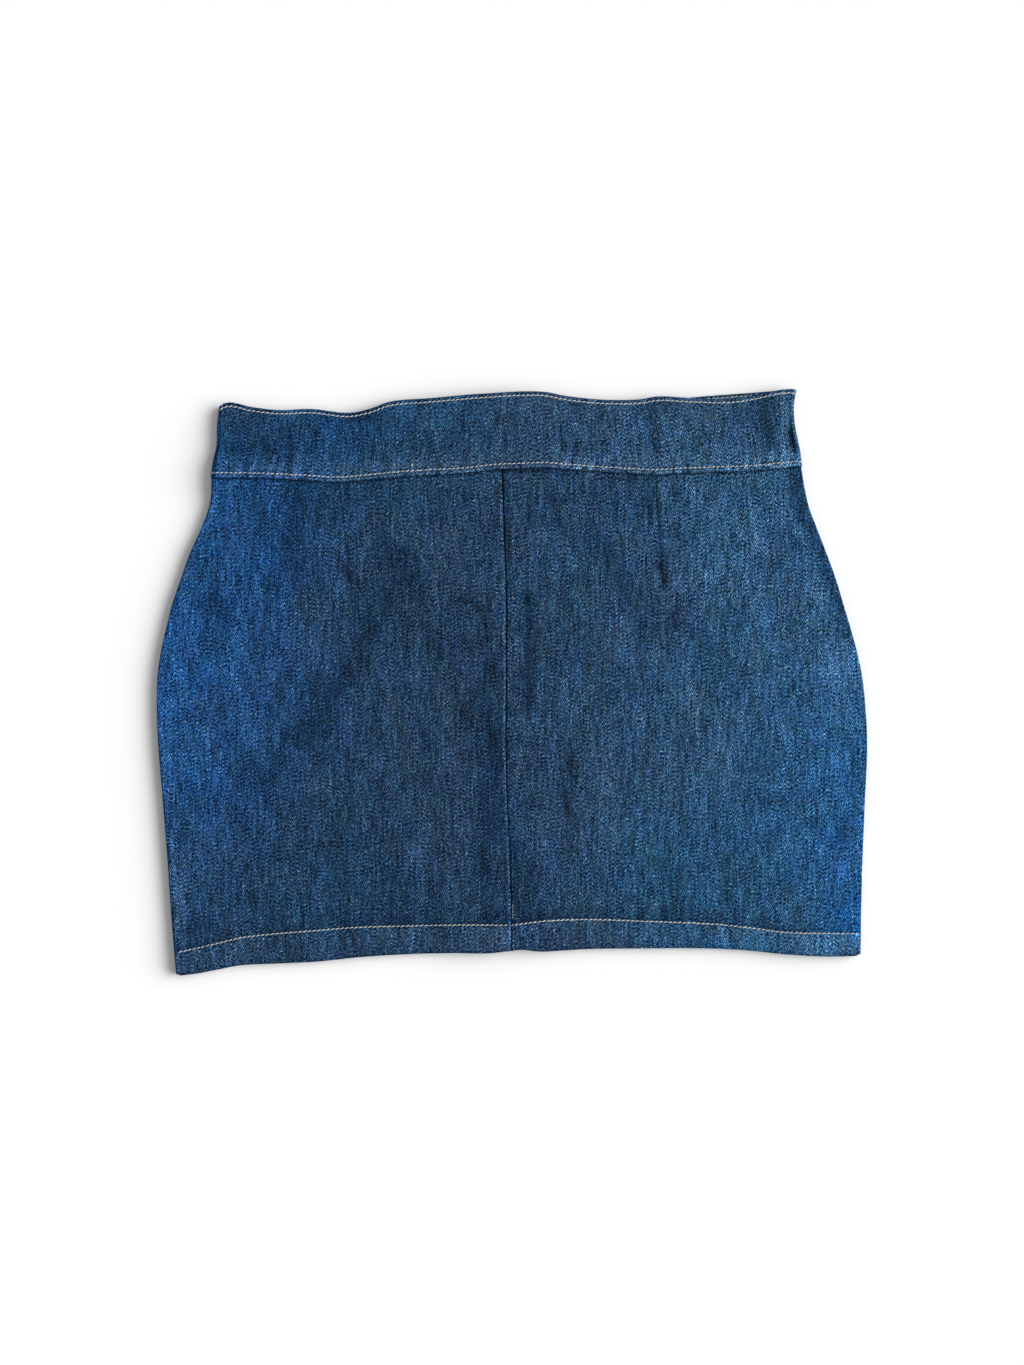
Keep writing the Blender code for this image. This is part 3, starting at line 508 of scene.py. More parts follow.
bandPuckers, panelPuckers, hemPuckers = (
    makePuckers(pucker["seed"] + n, start, end)
    for n, (start, end) in enumerate(((-196.0, 190.0), (-196.0, 190.0), (-222.0, 226.0))))


def puckerHeight(x, distance, puckers, lean=0.0):
    # distance is measured from the stitches, 0 at them
    total = 0.0
    for place, width, height, length in puckers:
        total += height * swell(x - place - lean * distance, width) * swell(distance / length, 0.75)
    return total


def wavesAt(x, y):
    return sum(h * np.sin(2 * math.pi * (x / across + y / along) + phase)
               for across, along, phase, h in softWaves)


def stitchGroove(distance, depth=0.3, halfWidth=0.75):
    return -depth * swell(distance, halfWidth)


# both darts: line, level of its tip, level where its shade ends
darts = ((leftDart, 68.0, 70.0), (rightDart, 62.0, 64.0))
relief = {
    "hemRidge": 0.28,       # swelling below the hem's stitches
    "dartGroove": 0.34,
    "marginEdge": 0.15,     # where the pressed margins end
}
# painted light and shade in the cloth's colour, lighter above 0, darker below it: a painted shadow under the
# band, painted shade along the right edge, in the darts, beside the hem stitches and in the seam, painted
# highlights on the hem margin and the seam's folded edge
shade = {
    "hem": 0.20,
    "aboveHem": -0.20,
    "hemStitches": -0.22,
    "underBand": -0.55,
    "rightEdge": -0.46,
    "dart": -0.24,
    "seamBelow": 0.5,       # the seam's folded edge gets a painted highlight low down and painted shade above
    "seamAbove": -0.35,
    "hemFold": -0.35,
    "hemMargin": 0.12,
    "besideSeam": -0.30,
}


def panelDetail(x, y):
    below, fromHem = -aboveBandSeam(x, y), aboveHemLine(x, y)
    total = creaseHeight(x, y, fineCreases, 2.0, 12.0, 4.0)
    total += wavesAt(x, y) * ease((fromSides(x, y) - 3.0) / 18.0)
    upper = puckerHeight(x, np.maximum(below, 0.0), panelPuckers) * pucker["upper"]
    total += upper * ease(below / 3.0)
    hemPart = mix(pucker["aboveHem"], pucker["inHem"], ease(-fromHem / 1.5))
    total += puckerHeight(x, np.abs(fromHem), hemPuckers, pucker["lean"]) * hemPart
    total += stitchGroove(fromHem) + relief["hemRidge"] * swell(fromHem + 2.6, 1.6)
    for dart, tip, _ in darts:
        total -= relief["dartGroove"] * swell(x - dart(y), 0.8) * ease((y - tip) / 18.0)
    return total


def leftDetail(x, y):
    edge = relief["marginEdge"] * swell(x - centreSeam(y) + 4.4, 1.4)
    return panelDetail(x, y) - edge * seamPresence(x, y)


# painted light and shade on a panel's face, from the tables above, with the hem's pucker tops rubbed paler
# and painted lighter
def panelLightShadeAndWear(x, y):
    fromHem, past = aboveHemLine(x, y), x - centreSeam(y)
    inHem = ease(-fromHem / 1.2)
    tone = shade["hem"] * inHem + shade["aboveHem"] * ease(fromHem) * (1 - ease((fromHem - 3.0) / 7.0))
    tone += shade["hemStitches"] * swell(np.abs(fromHem) - 1.25, 0.5)
    tone += shade["underBand"] * swell(-aboveBandSeam(x, y) - 0.5, 0.9)
    tone += marks(x, y, fineCreases, 2) + marks(x, y, panelPaintedLightAndShade, 1)
    tone += shade["rightEdge"] * bell(panelRight(y) - x, 4.0, 11.0) * bell(y - 84.0, 48.0, 18.0)
    rubbedAndHighlit = puckerHeight(x, np.abs(fromHem), hemPuckers, pucker["lean"]) * ease(-fromHem)
    tone += pucker["hemWearAndHighlight"] * rubbedAndHighlit
    for dart, _, tip in darts:
        tone += shade["dart"] * swell(x - dart(y), 0.7) * ease((y - tip) / 14.0)
    seamShade = mix(shade["seamBelow"], shade["seamAbove"], ease((y + 80.0) / 70.0))
    tone += seamShade * swell(past - 0.3, 0.6) + shade["hemFold"] * swell(y - hemEdge(x), 2.2)
    tone += shade["hemMargin"] * bell(past + 5.5, 4.0, 2.0) * inHem
    return tone + shade["besideSeam"] * bell(past - 2.0, 0.8, 2.6) * ease((y - 60.0) / 14.0)


def steppedShares(span, step, fine, fineStart=True, fineEnd=True):
    # places from 0 to 1 across a span, closer together towards its ends
    places = [0.0]
    while places[-1] < span:
        here = places[-1]
        near = min(here if fineStart else span, span - here if fineEnd else span)
        places.append(here + min(step, fine + 0.22 * max(near, 0.0)))
    return np.array(places) / places[-1]


def foldTurns():
    return [math.pi * n / sewing["foldSteps"] for n in range(1, sewing["foldSteps"] + 1)]


# rows of a panel's grid, in millimetres from the band's seam or shares of the hem
panelSpacing = {
    "slot": (sewing["slotDepth"], sewing["slotDepth"] / 2, 2.0, 0.6, -0.1),
    "upper": (0.35, 0.4, 0.8),          # first row, clearance at the end, step
    "body": (286.0, 1.75, 0.8),         # length, step and finest step
    "hem": (18.5, 0.85, 0.5),
    "hemStart": 3.0,
    "hemOverlap": 1.0 + 2.2 / 16.0,
    "turnedUp": (0.12, 0.3, 0.5, 0.7, 0.85, 0.97),
}


def gridRow(level, kind, rise=0.0, cut=0.0):
    return {"level": level, "kind": kind, "rise": rise, "cut": cut}


def gridColumn(place, name=None, rise=0.0, cut=0.0, start=None):
    return {"place": place, "name": name, "rise": rise, "cut": cut, "start": start}


def panelRows(inward, fineness):
    def fromSeam(distance):
        return lambda x: bandSeam(x) + distance

    def body(share):
        return lambda x: mix(bandSeam(x) - centreSeamForm["start"],
                             hemEdge(x) + hemDepth(x) + panelSpacing["hemStart"], share)

    def hem(share, lower=0.0):
        return lambda x: hemEdge(x) + mix(foldReach, hemDepth(x), share) - lower

    def shares(part, *ends):
        span, step, fine = panelSpacing[part]
        return steppedShares(span, step * fineness, fine * fineness, *ends)

    first, clear, step = panelSpacing["upper"]
    overlap = panelSpacing["hemOverlap"]
    rows = [gridRow(fromSeam(d), "slot") for d in panelSpacing["slot"]]
    rows += [gridRow(fromSeam(-d), "upper")
             for d in np.arange(first, centreSeamForm["start"] - clear, step * fineness)]
    rows += [gridRow(body(s), "body") for s in shares("body")]
    rows += [gridRow(hem(s), "hem") for s in overlap - shares("hem", True, False) * overlap]
    for turn in foldTurns():
        rows.append(gridRow(hem(0.0, foldRadius * math.sin(turn)), "fold",
                            inward * foldRadius * (1 - math.cos(turn)), foldRadius * turn))
    rows += [gridRow(hem(s), "fold", inward * layer, foldRadius * math.pi + s * sewing["hemTurned"])
             for s in panelSpacing["turnedUp"]]
    return rows


def insetOf(kinds, side):
    # how far the flat of a panel stops short of its outline, row by row
    trim = sewing["edgeTrim"]
    reach = {"slot": slotInset if side else trim, "upper": foldReach if side else trim,
             "body": foldReach, "hem": foldReach, "fold": 2.4 if side else trim}
    return np.array([reach[kind] for kind in kinds])


allowed = {"side": ("upper", "body"), "sideTurn": ("upper", "body", "hem"), "centre": ("body",),
           "centreTurn": ("body", "hem")}


def turnedMargin(edge, away, name, inward):
    # columns of a margin folded in at an edge; away points out of the panel
    def start(y):
        return edge(y) - away * foldReach

    columns = []
    for turn in foldTurns():
        reach = foldRadius * math.sin(turn) - foldReach
        rise = inward * foldRadius * (1 - math.cos(turn))
        columns.append(gridColumn(lambda y, kinds, r=reach: edge(y) + away * r, name + "Turn", rise,
                                  away * foldRadius * turn, start))
    for width in np.linspace(1.8, sewing["margin"], 5):
        columns.append(gridColumn(lambda y, kinds, w=width: edge(y) - away * w, name, inward * layer,
                                  away * (foldRadius * math.pi + width), start))
    return columns


def flatColumns(start, end, shares):
    return [gridColumn(lambda y, kinds, s=s: mix(start(y, kinds), end(y, kinds), s)) for s in shares]


def panelGrid(rows, columns, height, detail, tone):
    kinds = [row["kind"] for row in rows]
    x = np.zeros((len(rows), len(columns)))
    y = np.zeros_like(x)
    for _ in range(4):
        for i, column in enumerate(columns):
            x[:, i] = column["place"](y[:, i], kinds)
        for j, row in enumerate(rows):
            y[j] = row["level"](x[j])
    rowRise = np.array([row["rise"] for row in rows])[:, None]
    columnRise = np.array([column["rise"] for column in columns])[None, :]
    flatRow, flatColumn = (np.clip(1 - np.abs(rise) / foldRadius, 0, 1) for rise in (rowRise, columnRise))
    flat = flatRow * flatColumn
    z = height(x, y) + rowRise + columnRise + flat * detail(x, y)
    cutX, cutY = x.copy(), y.copy()
    for i, column in enumerate(columns):
        if column["start"]:
            cutX[:, i] = column["start"](y[:, i]) + column["cut"]
    for j, row in enumerate(rows):
        if row["cut"]:
            cutY[j] = hemEdge(x[j]) + foldReach - row["cut"]
    present = np.array([[column["name"] is None or kind in allowed[column["name"]] for column in columns]
                        for kind in kinds])
    return {"points": np.stack((x, y, z), -1), "cut": np.stack((cutX, cutY), -1), "present": present,
            "tone": tone(x, y) * flat, "past": x - centreSeam(y), "kinds": kinds}


def gridMesh(name, grid, flip=False):
    # a wall of cloth round the grid, its face on the outside and the pale side within
    present = grid["present"]
    index = np.full(present.shape, -1)
    index[present] = np.arange(present.sum())
    whole = present[:-1, :-1] & present[1:, :-1] & present[1:, 1:] & present[:-1, 1:]
    corners = np.stack((index[:-1, :-1], index[1:, :-1], index[1:, 1:], index[:-1, 1:]), -1)[whole]
    if flip:
        corners = corners[:, ::-1]
    mesh = newMesh(name, grid["points"][present], corners.tolist(), (denimFace, denimInside))
    cut = mesh.uv_layers.new(name="cut")
    cut.data.foreach_set("uv", grid["cut"][present][corners.ravel()].astype(np.float32).ravel())
    # the tone carries the painted light and shade, and past the place beside the centre seam
    for layerName in ("tone", "past"):
        values = mesh.attributes.new(layerName, "FLOAT", "POINT")
        values.data.foreach_set("value", grid[layerName][present].astype(np.float32))
    mesh.shade_smooth()
    piece = linkObject(name, mesh)
    wall = piece.modifiers.new("wall", "SOLIDIFY")
    wall.thickness = sewing["cloth"] * mm
    wall.offset = 0.0
    wall.use_even_offset = True
    wall.material_offset = wall.material_offset_rim = 1
    return piece


def ramp(tree, value, low, high, outLow=0.0, outHigh=1.0):
    return addNode(tree, "MapRange",
                   {"Value": value, "From Min": low, "From Max": high, "To Min": outLow, "To Max": outHigh},
                   interpolation_type="SMOOTHSTEP")["Result"]


def mixColor(tree, share, a, b, blend="MIX"):
    return addNode(tree, "Mix", {0: share, 6: a, 7: b}, data_type="RGBA", blend_type=blend)[2]


def vectorCalc(tree, sign, *values):
    made = addNode(tree, "VectorMath", dict(enumerate(values)), operation=mathSigns.get(sign, sign))
    return made["Value" if sign == "LENGTH" else "Vector"]


def scaled(tree, color, factor):
    return addNode(tree, "VectorMath", {0: color, "Scale": factor}, operation="SCALE")["Vector"]


def noise(tree, place, scale, detail, rough=0.5, flat=False):
    return addNode(tree, "TexNoise", {"Vector": place, "Scale": scale, "Detail": detail, "Roughness": rough},
                   noise_dimensions="2D" if flat else "3D")


def combined(tree, *parts):
    return addNode(tree, "CombineXYZ", dict(enumerate(parts)))[0]


def bumped(tree, height, strength, distance):
    values = {"Height": height, "Strength": strength, "Distance": distance * mm}
    return addNode(tree, "Bump", values)["Normal"]


def newGroup(name, inputs, outputs):
    # an input is a vector where its default is None, a color where it is a tuple, or a number
    tree = bpy.data.node_groups.new(name, "ShaderNodeTree")
    for socket, default in inputs.items():
        kind = "Vector" if default is None else "Color" if isinstance(default, tuple) else "Float"
        made = tree.interface.new_socket(name=socket, in_out="INPUT", socket_type="NodeSocket" + kind)
        if default is not None:
            made.default_value = default
    for socket, kind in outputs.items():
        tree.interface.new_socket(name=socket, in_out="OUTPUT", socket_type="NodeSocket" + kind)
    return tree, tree.nodes.new("NodeGroupInput").outputs, tree.nodes.new("NodeGroupOutput").inputs


def useGroup(tree, group, values):
    return addNode(tree, "Group", values, node_tree=group)


weave = {
    "float": 3.0,           # cross yarns that an upright one passes over, of each four
    "repeat": 4.0,
    "drift": (0.09, 3.0),   # scale and reach of the yarns' wandering, broad and fine
    "wobble": (0.7, 6.0),
    "slub": (7.31, 0.045),  # places that the patterns below are looked up at, across and along
    "grain": (0.3, 0.4),
    "rows": (0.33, 0.035),
    "streaks": (0.24, 0.045),
    "warpTone": 1.15,       # how much the rows and grain tell on the upright and on the cross yarns
    "weftTone": 2.7,
}


def twillWeaveGroup():
    # three-up one-down twill: upright dyed yarns over pale cross yarns
    tree, into, out = newGroup("twillWeave", {
        "Cut": None, "Warp Color": (0.01, 0.03, 0.07, 1.0), "Weft Color": (0.15, 0.30, 0.45, 1.0),
        "Ends": 0.37, "Picks": 0.64, "Weft Share": 1.0, "Slub": 0.5, "Grain": 2.5, "Rows": 3.2,
        "Streaks": 1.2, "Fleck": 0.2,
    }, {"Color": "Color", "Height": "Float", "Roughness": "Float"})

    def work(sign, *values):
        return calc(tree, sign, *values)

    def wandering(name):
        scale, amount = weave[name]
        return ("*", centred(noise(tree, into["Cut"], scale, 2.0, flat=True)["Fac"]), amount)

    place = addNode(tree, "SeparateXYZ", {0: into["Cut"]})
    u = work("+", ("/", place[0], into["Ends"]), ("+", wandering("wobble"), wandering("drift")))
    v = work("/", place[1], into["Picks"])

    def pattern(name, detail, start=u):
        scaleX, scaleY = weave[name]
        return noise(tree, combined(tree, ("*", start, scaleX), ("*", v, scaleY)), 1.0, detail, flat=True)

    end, pick = work("FLOOR", u), work("FLOOR", v)
    across, along = work(*centred(("FRACT", u))), work(*centred(("FRACT", v)))
    step = work("/", ("-", end, v), weave["repeat"])
    run = work("*", ("FRACT", step), weave["repeat"])
    middle = weave["float"] / 2
    floatDome = ("-", 1.0, ("POWER", ("MINIMUM", ("/", ("ABSOLUTE", ("-", run, middle)), middle), 1.0), 3.0))
    warpHeight = work("*", ("COSINE", ("*", across, math.pi)), ("*+", floatDome, 0.7, 0.3))
    reach = ("SQRT", ("+", ("*", across, across), ("*", ("*", along, along), 0.8)))
    spot = work("*", (">", run, weave["float"]), ramp(tree, reach, 0.66, 0.34))
    # each upright yarn thickens and thins along its length, each float differs a little
    slub = pattern("slub", 2.0, end)["Fac"]
    slubTone = ("*", centred(slub), into["Slub"])
    floatChance = addNode(tree, "TexWhiteNoise", {"Vector": combined(tree, end, ("FLOOR", step))},
                          noise_dimensions="2D")["Value"]
    floatTone = ("*", centred(floatChance), into["Fleck"])
    chance = addNode(tree, "TexWhiteNoise", {"Vector": combined(tree, end, pick, 3.0)},
                     noise_dimensions="3D")["Value"]
    # cross yarns bunch into short uneven rows, and the whole face is a little grainy
    rowShares = addNode(tree, "SeparateColor", {0: pattern("rows", 1.0)["Color"]})
    turn = work("*", ("*+", u, 1 / weave["repeat"], v), math.pi / 2)
    rowTone = ("*+", centred(rowShares[0]), ("COSINE", turn), ("*", centred(rowShares[1]), ("SINE", turn)))
    grainTone = ("*", centred(pattern("grain", 2.0)["Fac"]), into["Grain"])
    streakTone = ("*+", centred(pattern("streaks", 1.0)["Fac"]), into["Streaks"], grainTone)
    pickTone = work("*+", rowTone, into["Rows"], streakTone)
    fleck = ("*", ("POWER", chance, 3.0), into["Fleck"])
    warpTone = ("+", ("*+", pickTone, weave["warpTone"], 1.0), ("*+", slubTone, 1.6, ("*", floatTone, 0.7)))
    # the upright yarns are painted darker at their sides and where they dip under, as shade on their round
    # form
    warpShade = ("*", ("MAXIMUM", warpTone, 0.1), ("*+", warpHeight, 0.75, 0.25))
    weftTone = ("MAXIMUM", ("+", ("*+", fleck, 2.6, 1.2), ("*", pickTone, weave["weftTone"])), 0.05)
    feed(tree, out, {
        "Color": mixColor(tree, ("*", spot, into["Weft Share"]), scaled(tree, into["Warp Color"], warpShade),
                          scaled(tree, into["Weft Color"], weftTone)),
        "Height": ("MAXIMUM", warpHeight, ("*", spot, 0.6)),
        "Roughness": ramp(tree, slub, 0.2, 0.8, 0.92, 0.78),
    })
    return tree


# scale, detail, roughness of each mottling, its stretch along the skirt and its amount
mottling = ((95.0, 4.0, 0.5, 1.0, 0.6), (260.0, 3.0, 0.5, 0.18, 2.0), (42.0, 4.0, 0.72, 0.5, 2.0))


def makePaintedLightGroup(paintedLightZones):
    # broad soft patches painted bluer or paler, as painted light for the light's fall and colour cast across
    # the cloth, and fine mottling over all of it
    tree, into, out = newGroup("paintedLightPatches", {"Place": None, "Mottle": 0.25}, {"Tint": "Color"})
    place = into["Place"]
    ragged = vectorCalc(tree, "-", noise(tree, place, 14.0, 3.0)["Color"], (0.5, 0.5, 0.5))
    shifted = vectorCalc(tree, "*+", ragged, (0.05, 0.05, 0.0), place)
    color = (1.0, 1.0, 1.0, 1.0)
    for x, y, reachX, reachY, tint, amount in paintedLightZones:
        moved = vectorCalc(tree, "-", shifted, (x * mm, y * mm, 0.0))
        shrunk = vectorCalc(tree, "*", moved, (1 / (reachX * mm), 1 / (reachY * mm), 0.0))
        share = ramp(tree, vectorCalc(tree, "LENGTH", shrunk), 1.0, 0.15, 0.0, amount)
        color = mixColor(tree, share, color, (*tint, 1.0))
    both = 0.0
    for scale, detail, rough, stretch, amount in mottling:
        drawn = vectorCalc(tree, "*", place, (1.0, stretch, 1.0))
        both = ("*+", centred(noise(tree, drawn, scale, detail, rough)["Fac"]), amount, both)
    hues = vectorCalc(tree, "*+", noise(tree, place, 60.0, 4.0, 0.85)["Color"], (0.85, 0.28, 0.85),
                      (0.575, 0.86, 0.575))
    tone = ("*+", both, into["Mottle"], 1.0)
    feed(tree, out, {"Tint": scaled(tree, vectorCalc(tree, "*", color, hues), tone)})
    return tree


def fuzzGroup():
    # loose fibres: a fine breakup of height and tone
    tree, into, out = newGroup("fuzz", {"Place": None, "Scale": 900.0, "Amount": 0.3},
                               {"Tone": "Float", "Height": "Float"})
    fibres = noise(tree, into["Place"], into["Scale"], 5.0, 0.7)["Fac"]
    feed(tree, out, {"Tone": ("*+", centred(fibres), into["Amount"], 1.0), "Height": fibres})
    return tree


rope = {"lean": 1.1, "place": -1.3, "halfWidth": 0.9, "tone": 0.5}


def seamRopeGroup():
    # slanted marks that the seam's hidden stitches press into its folded edge, with a painted highlight on
    # each mark
    tree, into, out = newGroup("seamRope", {"Place": None, "Past": 100.0, "Pitch": 3.0},
                               {"Tone": "Float", "Height": "Float"})
    past = into["Past"]
    level = ("*", addNode(tree, "SeparateXYZ", {0: into["Place"]})[1], 1 / mm)
    wave = ("SINE", ("*", ("/", ("*+", past, rope["lean"], level), into["Pitch"]), 2 * math.pi))
    beside = calc(tree, "/", ("-", past, rope["place"]), rope["halfWidth"])
    near = ("EXPONENT", ("*", ("*", beside, beside), -1.0))
    mark = calc(tree, "*", near, ("*+", wave, 0.5, 0.5))
    feed(tree, out, {"Tone": ("*", mark, rope["tone"]), "Height": mark})
    return tree


# the yarns' dyed colours, with the tints for the painted light and shade
dyeAndPaintedLight = {
    "warp": (0.0017, 0.0326, 0.0950),
    "weft": (0.1160, 0.1880, 0.2840),
    # a pale rubbed colour that painted highlights also mix towards, and a darker, bluer tint for painted
    # shade
    "worn": (0.105, 0.125, 0.140, 1.0),
    "shadow": (0.68, 0.97, 1.08, 1.0),
    "insideWarp": (0.05, 0.10, 0.17),
    "insideWeft": (0.50, 0.53, 0.55),
    "shadowShare": 1.6,
    "wornAndHighlightShare": 0.35,
    "mottle": 0.62,
    # soft patches of painted light and colour cast
    "paintedLightZones": (      # x, y, reach across, reach along, tint, amount
        (-200, 0, 200, 260, (0.78, 0.93, 1), 1), (-240, 15, 150, 210, (0.78, 1.52, 2.15), 1),
        (-180, 112, 100, 92, (0.4, 1.14, 1.62), 0.9), (-70, 170, 120, 50, (0.6, 1.05, 1.16), 0.9),
        (-125, 160, 80, 34, (0.52, 0.98, 1.22), 0.8), (-10, -90, 42, 110, (0.7, 0.86, 0.94), 0.9),
        (-105, -140, 130, 56, (0.62, 0.92, 1), 0.7), (-80, 117, 96, 24, (0.54, 1, 1.08), 0.7),
        (150, 60, 165, 210, (1.6, 1.86, 1.8), 1), (84, 45, 50, 66, (2.05, 1.68, 1.62), 0.8),
        (196, 76, 50, 70, (1.42, 1.84, 1.92), 0.8), (150, -170, 70, 16, (0.72, 1.6, 1.62), 0.8),
        (120, -120, 110, 85, (0.95, 1.5, 1.55), 0.9), (240, -70, 130, 150, (1.15, 2.05, 2.3), 0.95),
        (236, -98, 60, 62, (1.1, 2.05, 2.7), 0.9), (226, -146, 38, 38, (0.66, 2, 2.85), 0.85),
        (-209, -127, 40, 78, (1.11, 1.32, 1.55), 0.85), (188, -171, 44, 13, (0.89, 1.56, 1.75), 0.85),
    ),
}
denim = {
    "specular": 0.08,
    "fuzz": {"Scale": 700.0, "Amount": 0.5},
    "weave": {"Ends": 0.37, "Picks": 0.64, "Slub": 0.5, "Grain": 2.2, "Rows": 2.15, "Streaks": 1.1,
              "Fleck": 0.25},
    "fuzzRelief": 0.4,
    "ropeRelief": 1.5,
    "bump": (0.5, 0.12),    # strength, and distance in mm
}
weaveTree, paintedLightTree = twillWeaveGroup(), makePaintedLightGroup(dyeAndPaintedLight["paintedLightZones"])
fuzzTree, ropeTree = fuzzGroup(), seamRopeGroup()


def newMaterial(name, constants):
    material = bpy.data.materials.new(name)
    material.use_nodes = True
    tree = material.node_tree
    shader = tree.nodes["Principled BSDF"].inputs
    feed(tree, shader, constants)
    return material, tree, shader, addNode(tree, "TexCoord")["Object"]


def denimMaterial(name, warp, weft, weftShare, zoned):
    material, tree, shader, place = newMaterial(name, {"Specular IOR Level": denim["specular"]})
    cut = addNode(tree, "UVMap", uv_map="cut")["UV"]
    past, stored = (addNode(tree, "Attribute", attribute_name=kept)["Fac"] for kept in ("past", "tone"))
    seam = useGroup(tree, ropeTree, {"Place": place, "Past": past})
    fuzz = useGroup(tree, fuzzTree, {"Place": place, **denim["fuzz"]})
    # the stored tone and the seam marks are painted light and shade that brighten or darken the yarns
    tone = calc(tree, "+", stored, seam["Tone"])
    brightness = calc(tree, "*", ("+", tone, 1.0), fuzz["Tone"])
    colors = [scaled(tree, color, brightness) for color in (warp, weft)]
    if zoned:
        paintedLightZones = useGroup(tree, paintedLightTree, {"Place": place, "Mottle": dyeAndPaintedLight["mottle"]})["Tint"]
        colors = [vectorCalc(tree, "*", color, paintedLightZones) for color in colors]
    # painted shade turns the yarns darker and bluer, painted highlights and rubbed places turn them paler
    shaded = calc(tree, "*", ("MAXIMUM", ("*", tone, -1.0), 0.0), dyeAndPaintedLight["shadowShare"])
    warpColor, weftColor = (mixColor(tree, shaded, color, dyeAndPaintedLight["shadow"], "MULTIPLY") for color in colors)
    rubbedAndHighlit = ("*", ("MAXIMUM", tone, 0.0), dyeAndPaintedLight["wornAndHighlightShare"])
    woven = useGroup(tree, weaveTree, {
        "Cut": cut, "Warp Color": mixColor(tree, rubbedAndHighlit, warpColor, dyeAndPaintedLight["worn"]), "Weft Color": weftColor,
        "Weft Share": weftShare, **denim["weave"],
    })
    raised = ("*+", fuzz["Height"], denim["fuzzRelief"], woven["Height"])
    raised = ("*+", seam["Height"], denim["ropeRelief"], raised)
    feed(tree, shader, {"Base Color": woven["Color"], "Roughness": woven["Roughness"],
                        "Normal": bumped(tree, raised, *denim["bump"])})
    return material


def threadMaterial(name, color):
    material, tree, shader, place = newMaterial(name, {"Specular IOR Level": 0.35, "Sheen Weight": 0.1,
                                                       "Roughness": 0.6})
    fuzz = useGroup(tree, fuzzTree, {"Place": place, "Scale": 1400.0, "Amount": 0.7})
    feed(tree, shader, {"Base Color": scaled(tree, color, fuzz["Tone"]),
                        "Normal": bumped(tree, fuzz["Height"], 0.4, 0.06)})
    return material


def tapeMaterial(name, dark, light):
    material, tree, shader, place = newMaterial(name, {"Specular IOR Level": 0.3})
    fuzz = useGroup(tree, fuzzTree, {"Place": place, "Scale": 1100.0, "Amount": 0.6})
    ribs = addNode(tree, "TexWave", {"Vector": place, "Scale": 380.0, "Distortion": 0.4},
                   bands_direction="Y")["Fac"]
    feed(tree, shader, {"Base Color": scaled(tree, mixColor(tree, ribs, dark, light), fuzz["Tone"]),
                        "Roughness": ramp(tree, ribs, 0.0, 1.0, 0.75, 0.6),
                        "Normal": bumped(tree, ribs, 0.5, 0.08)})
    return material


def nickelMaterial(name, bright, dull):
    material, tree, shader, place = newMaterial(name, {"Metallic": 1.0})
    scratches = noise(tree, vectorCalc(tree, "*", place, (1.0, 0.12, 1.0)), 2600.0, 3.0)["Fac"]
    worn = ramp(tree, noise(tree, place, 220.0, 4.0)["Fac"], 0.35, 0.7)
    feed(tree, shader, {"Base Color": mixColor(tree, worn, bright, dull),
                        "Roughness": ramp(tree, scratches, 0.2, 0.8, 0.28, 0.46),
                        "Normal": bumped(tree, scratches, 0.15, 0.02)})
    return material


denimFace = denimMaterial("denimFace", dyeAndPaintedLight["warp"], dyeAndPaintedLight["weft"], 0.5, True)
denimInside = denimMaterial("denimInside", dyeAndPaintedLight["insideWarp"], dyeAndPaintedLight["insideWeft"], 1.0, False)
ecruThread = threadMaterial("ecruThread", (0.54, 0.545, 0.515))
navyTape = tapeMaterial("navyTape", (0.008, 0.014, 0.032, 1.0), (0.022, 0.034, 0.065, 1.0))
dullNickel = nickelMaterial("dullNickel", (0.42, 0.40, 0.36, 1.0), (0.26, 0.24, 0.21, 1.0))
print("materials ready")

panelSteps = {
    "outer": (108.0, 1.65, 0.5),        # columns: width, step and finest step
    "leftInner": (104.0, 1.65, 0.5),
    "rightInner": (104.0, 1.65, 0.22),
    "back": (212.0, 3.6, 0.8),
    "frontRows": 1.0,                   # rows: fineness
    "backRows": 2.1,
    "underSeam": (9.5, 7.0, 5.0, 3.0, 1.2),     # the right margin, pressed under the left one
    "backHemTone": 0.14,
}
outerShares = steppedShares(*panelSteps["outer"])


def frontLeftPanel():
    seamLine = lambda y: centreSeam(y) - sewing["gap"] / 2
    side = lambda y, kinds: panelLeft(y) + insetOf(kinds, True)
    seam = lambda y, kinds: seamLine(y) - insetOf(kinds, False)
    dart = lambda y, kinds: leftDart(y)
    columns = turnedMargin(panelLeft, -1, "side", -1)[::-1] + flatColumns(side, dart, outerShares)
    columns += flatColumns(dart, seam, steppedShares(*panelSteps["leftInner"])[1:])
    columns += turnedMargin(seamLine, 1, "centre", -1)
    rows = panelRows(-1, panelSteps["frontRows"])
    return panelGrid(rows, columns, frontLeftHeight, leftDetail, panelLightShadeAndWear)


def frontRightPanel():
    side = lambda y, kinds: panelRight(y) - insetOf(kinds, True)
    seam = lambda y, kinds: centreSeam(y) + sewing["gap"] / 2
    dart = lambda y, kinds: rightDart(y)
    columns = [gridColumn(lambda y, kinds, w=width: centreSeam(y) - w, "centre")
               for width in panelSteps["underSeam"]]
    columns += flatColumns(seam, dart, steppedShares(*panelSteps["rightInner"]))
    columns += flatColumns(dart, side, outerShares[1:]) + turnedMargin(panelRight, 1, "side", -1)
    rows = panelRows(-1, panelSteps["frontRows"])
    return panelGrid(rows, columns, frontRightHeight, panelDetail, panelLightShadeAndWear)


def backDetail(x, y):
    # the underside rests on the table, so only its stitches press into it
    return -stitchGroove(aboveHemLine(x, y))


def backTone(x, y):
    return panelSteps["backHemTone"] * ease(-aboveHemLine(x, y))


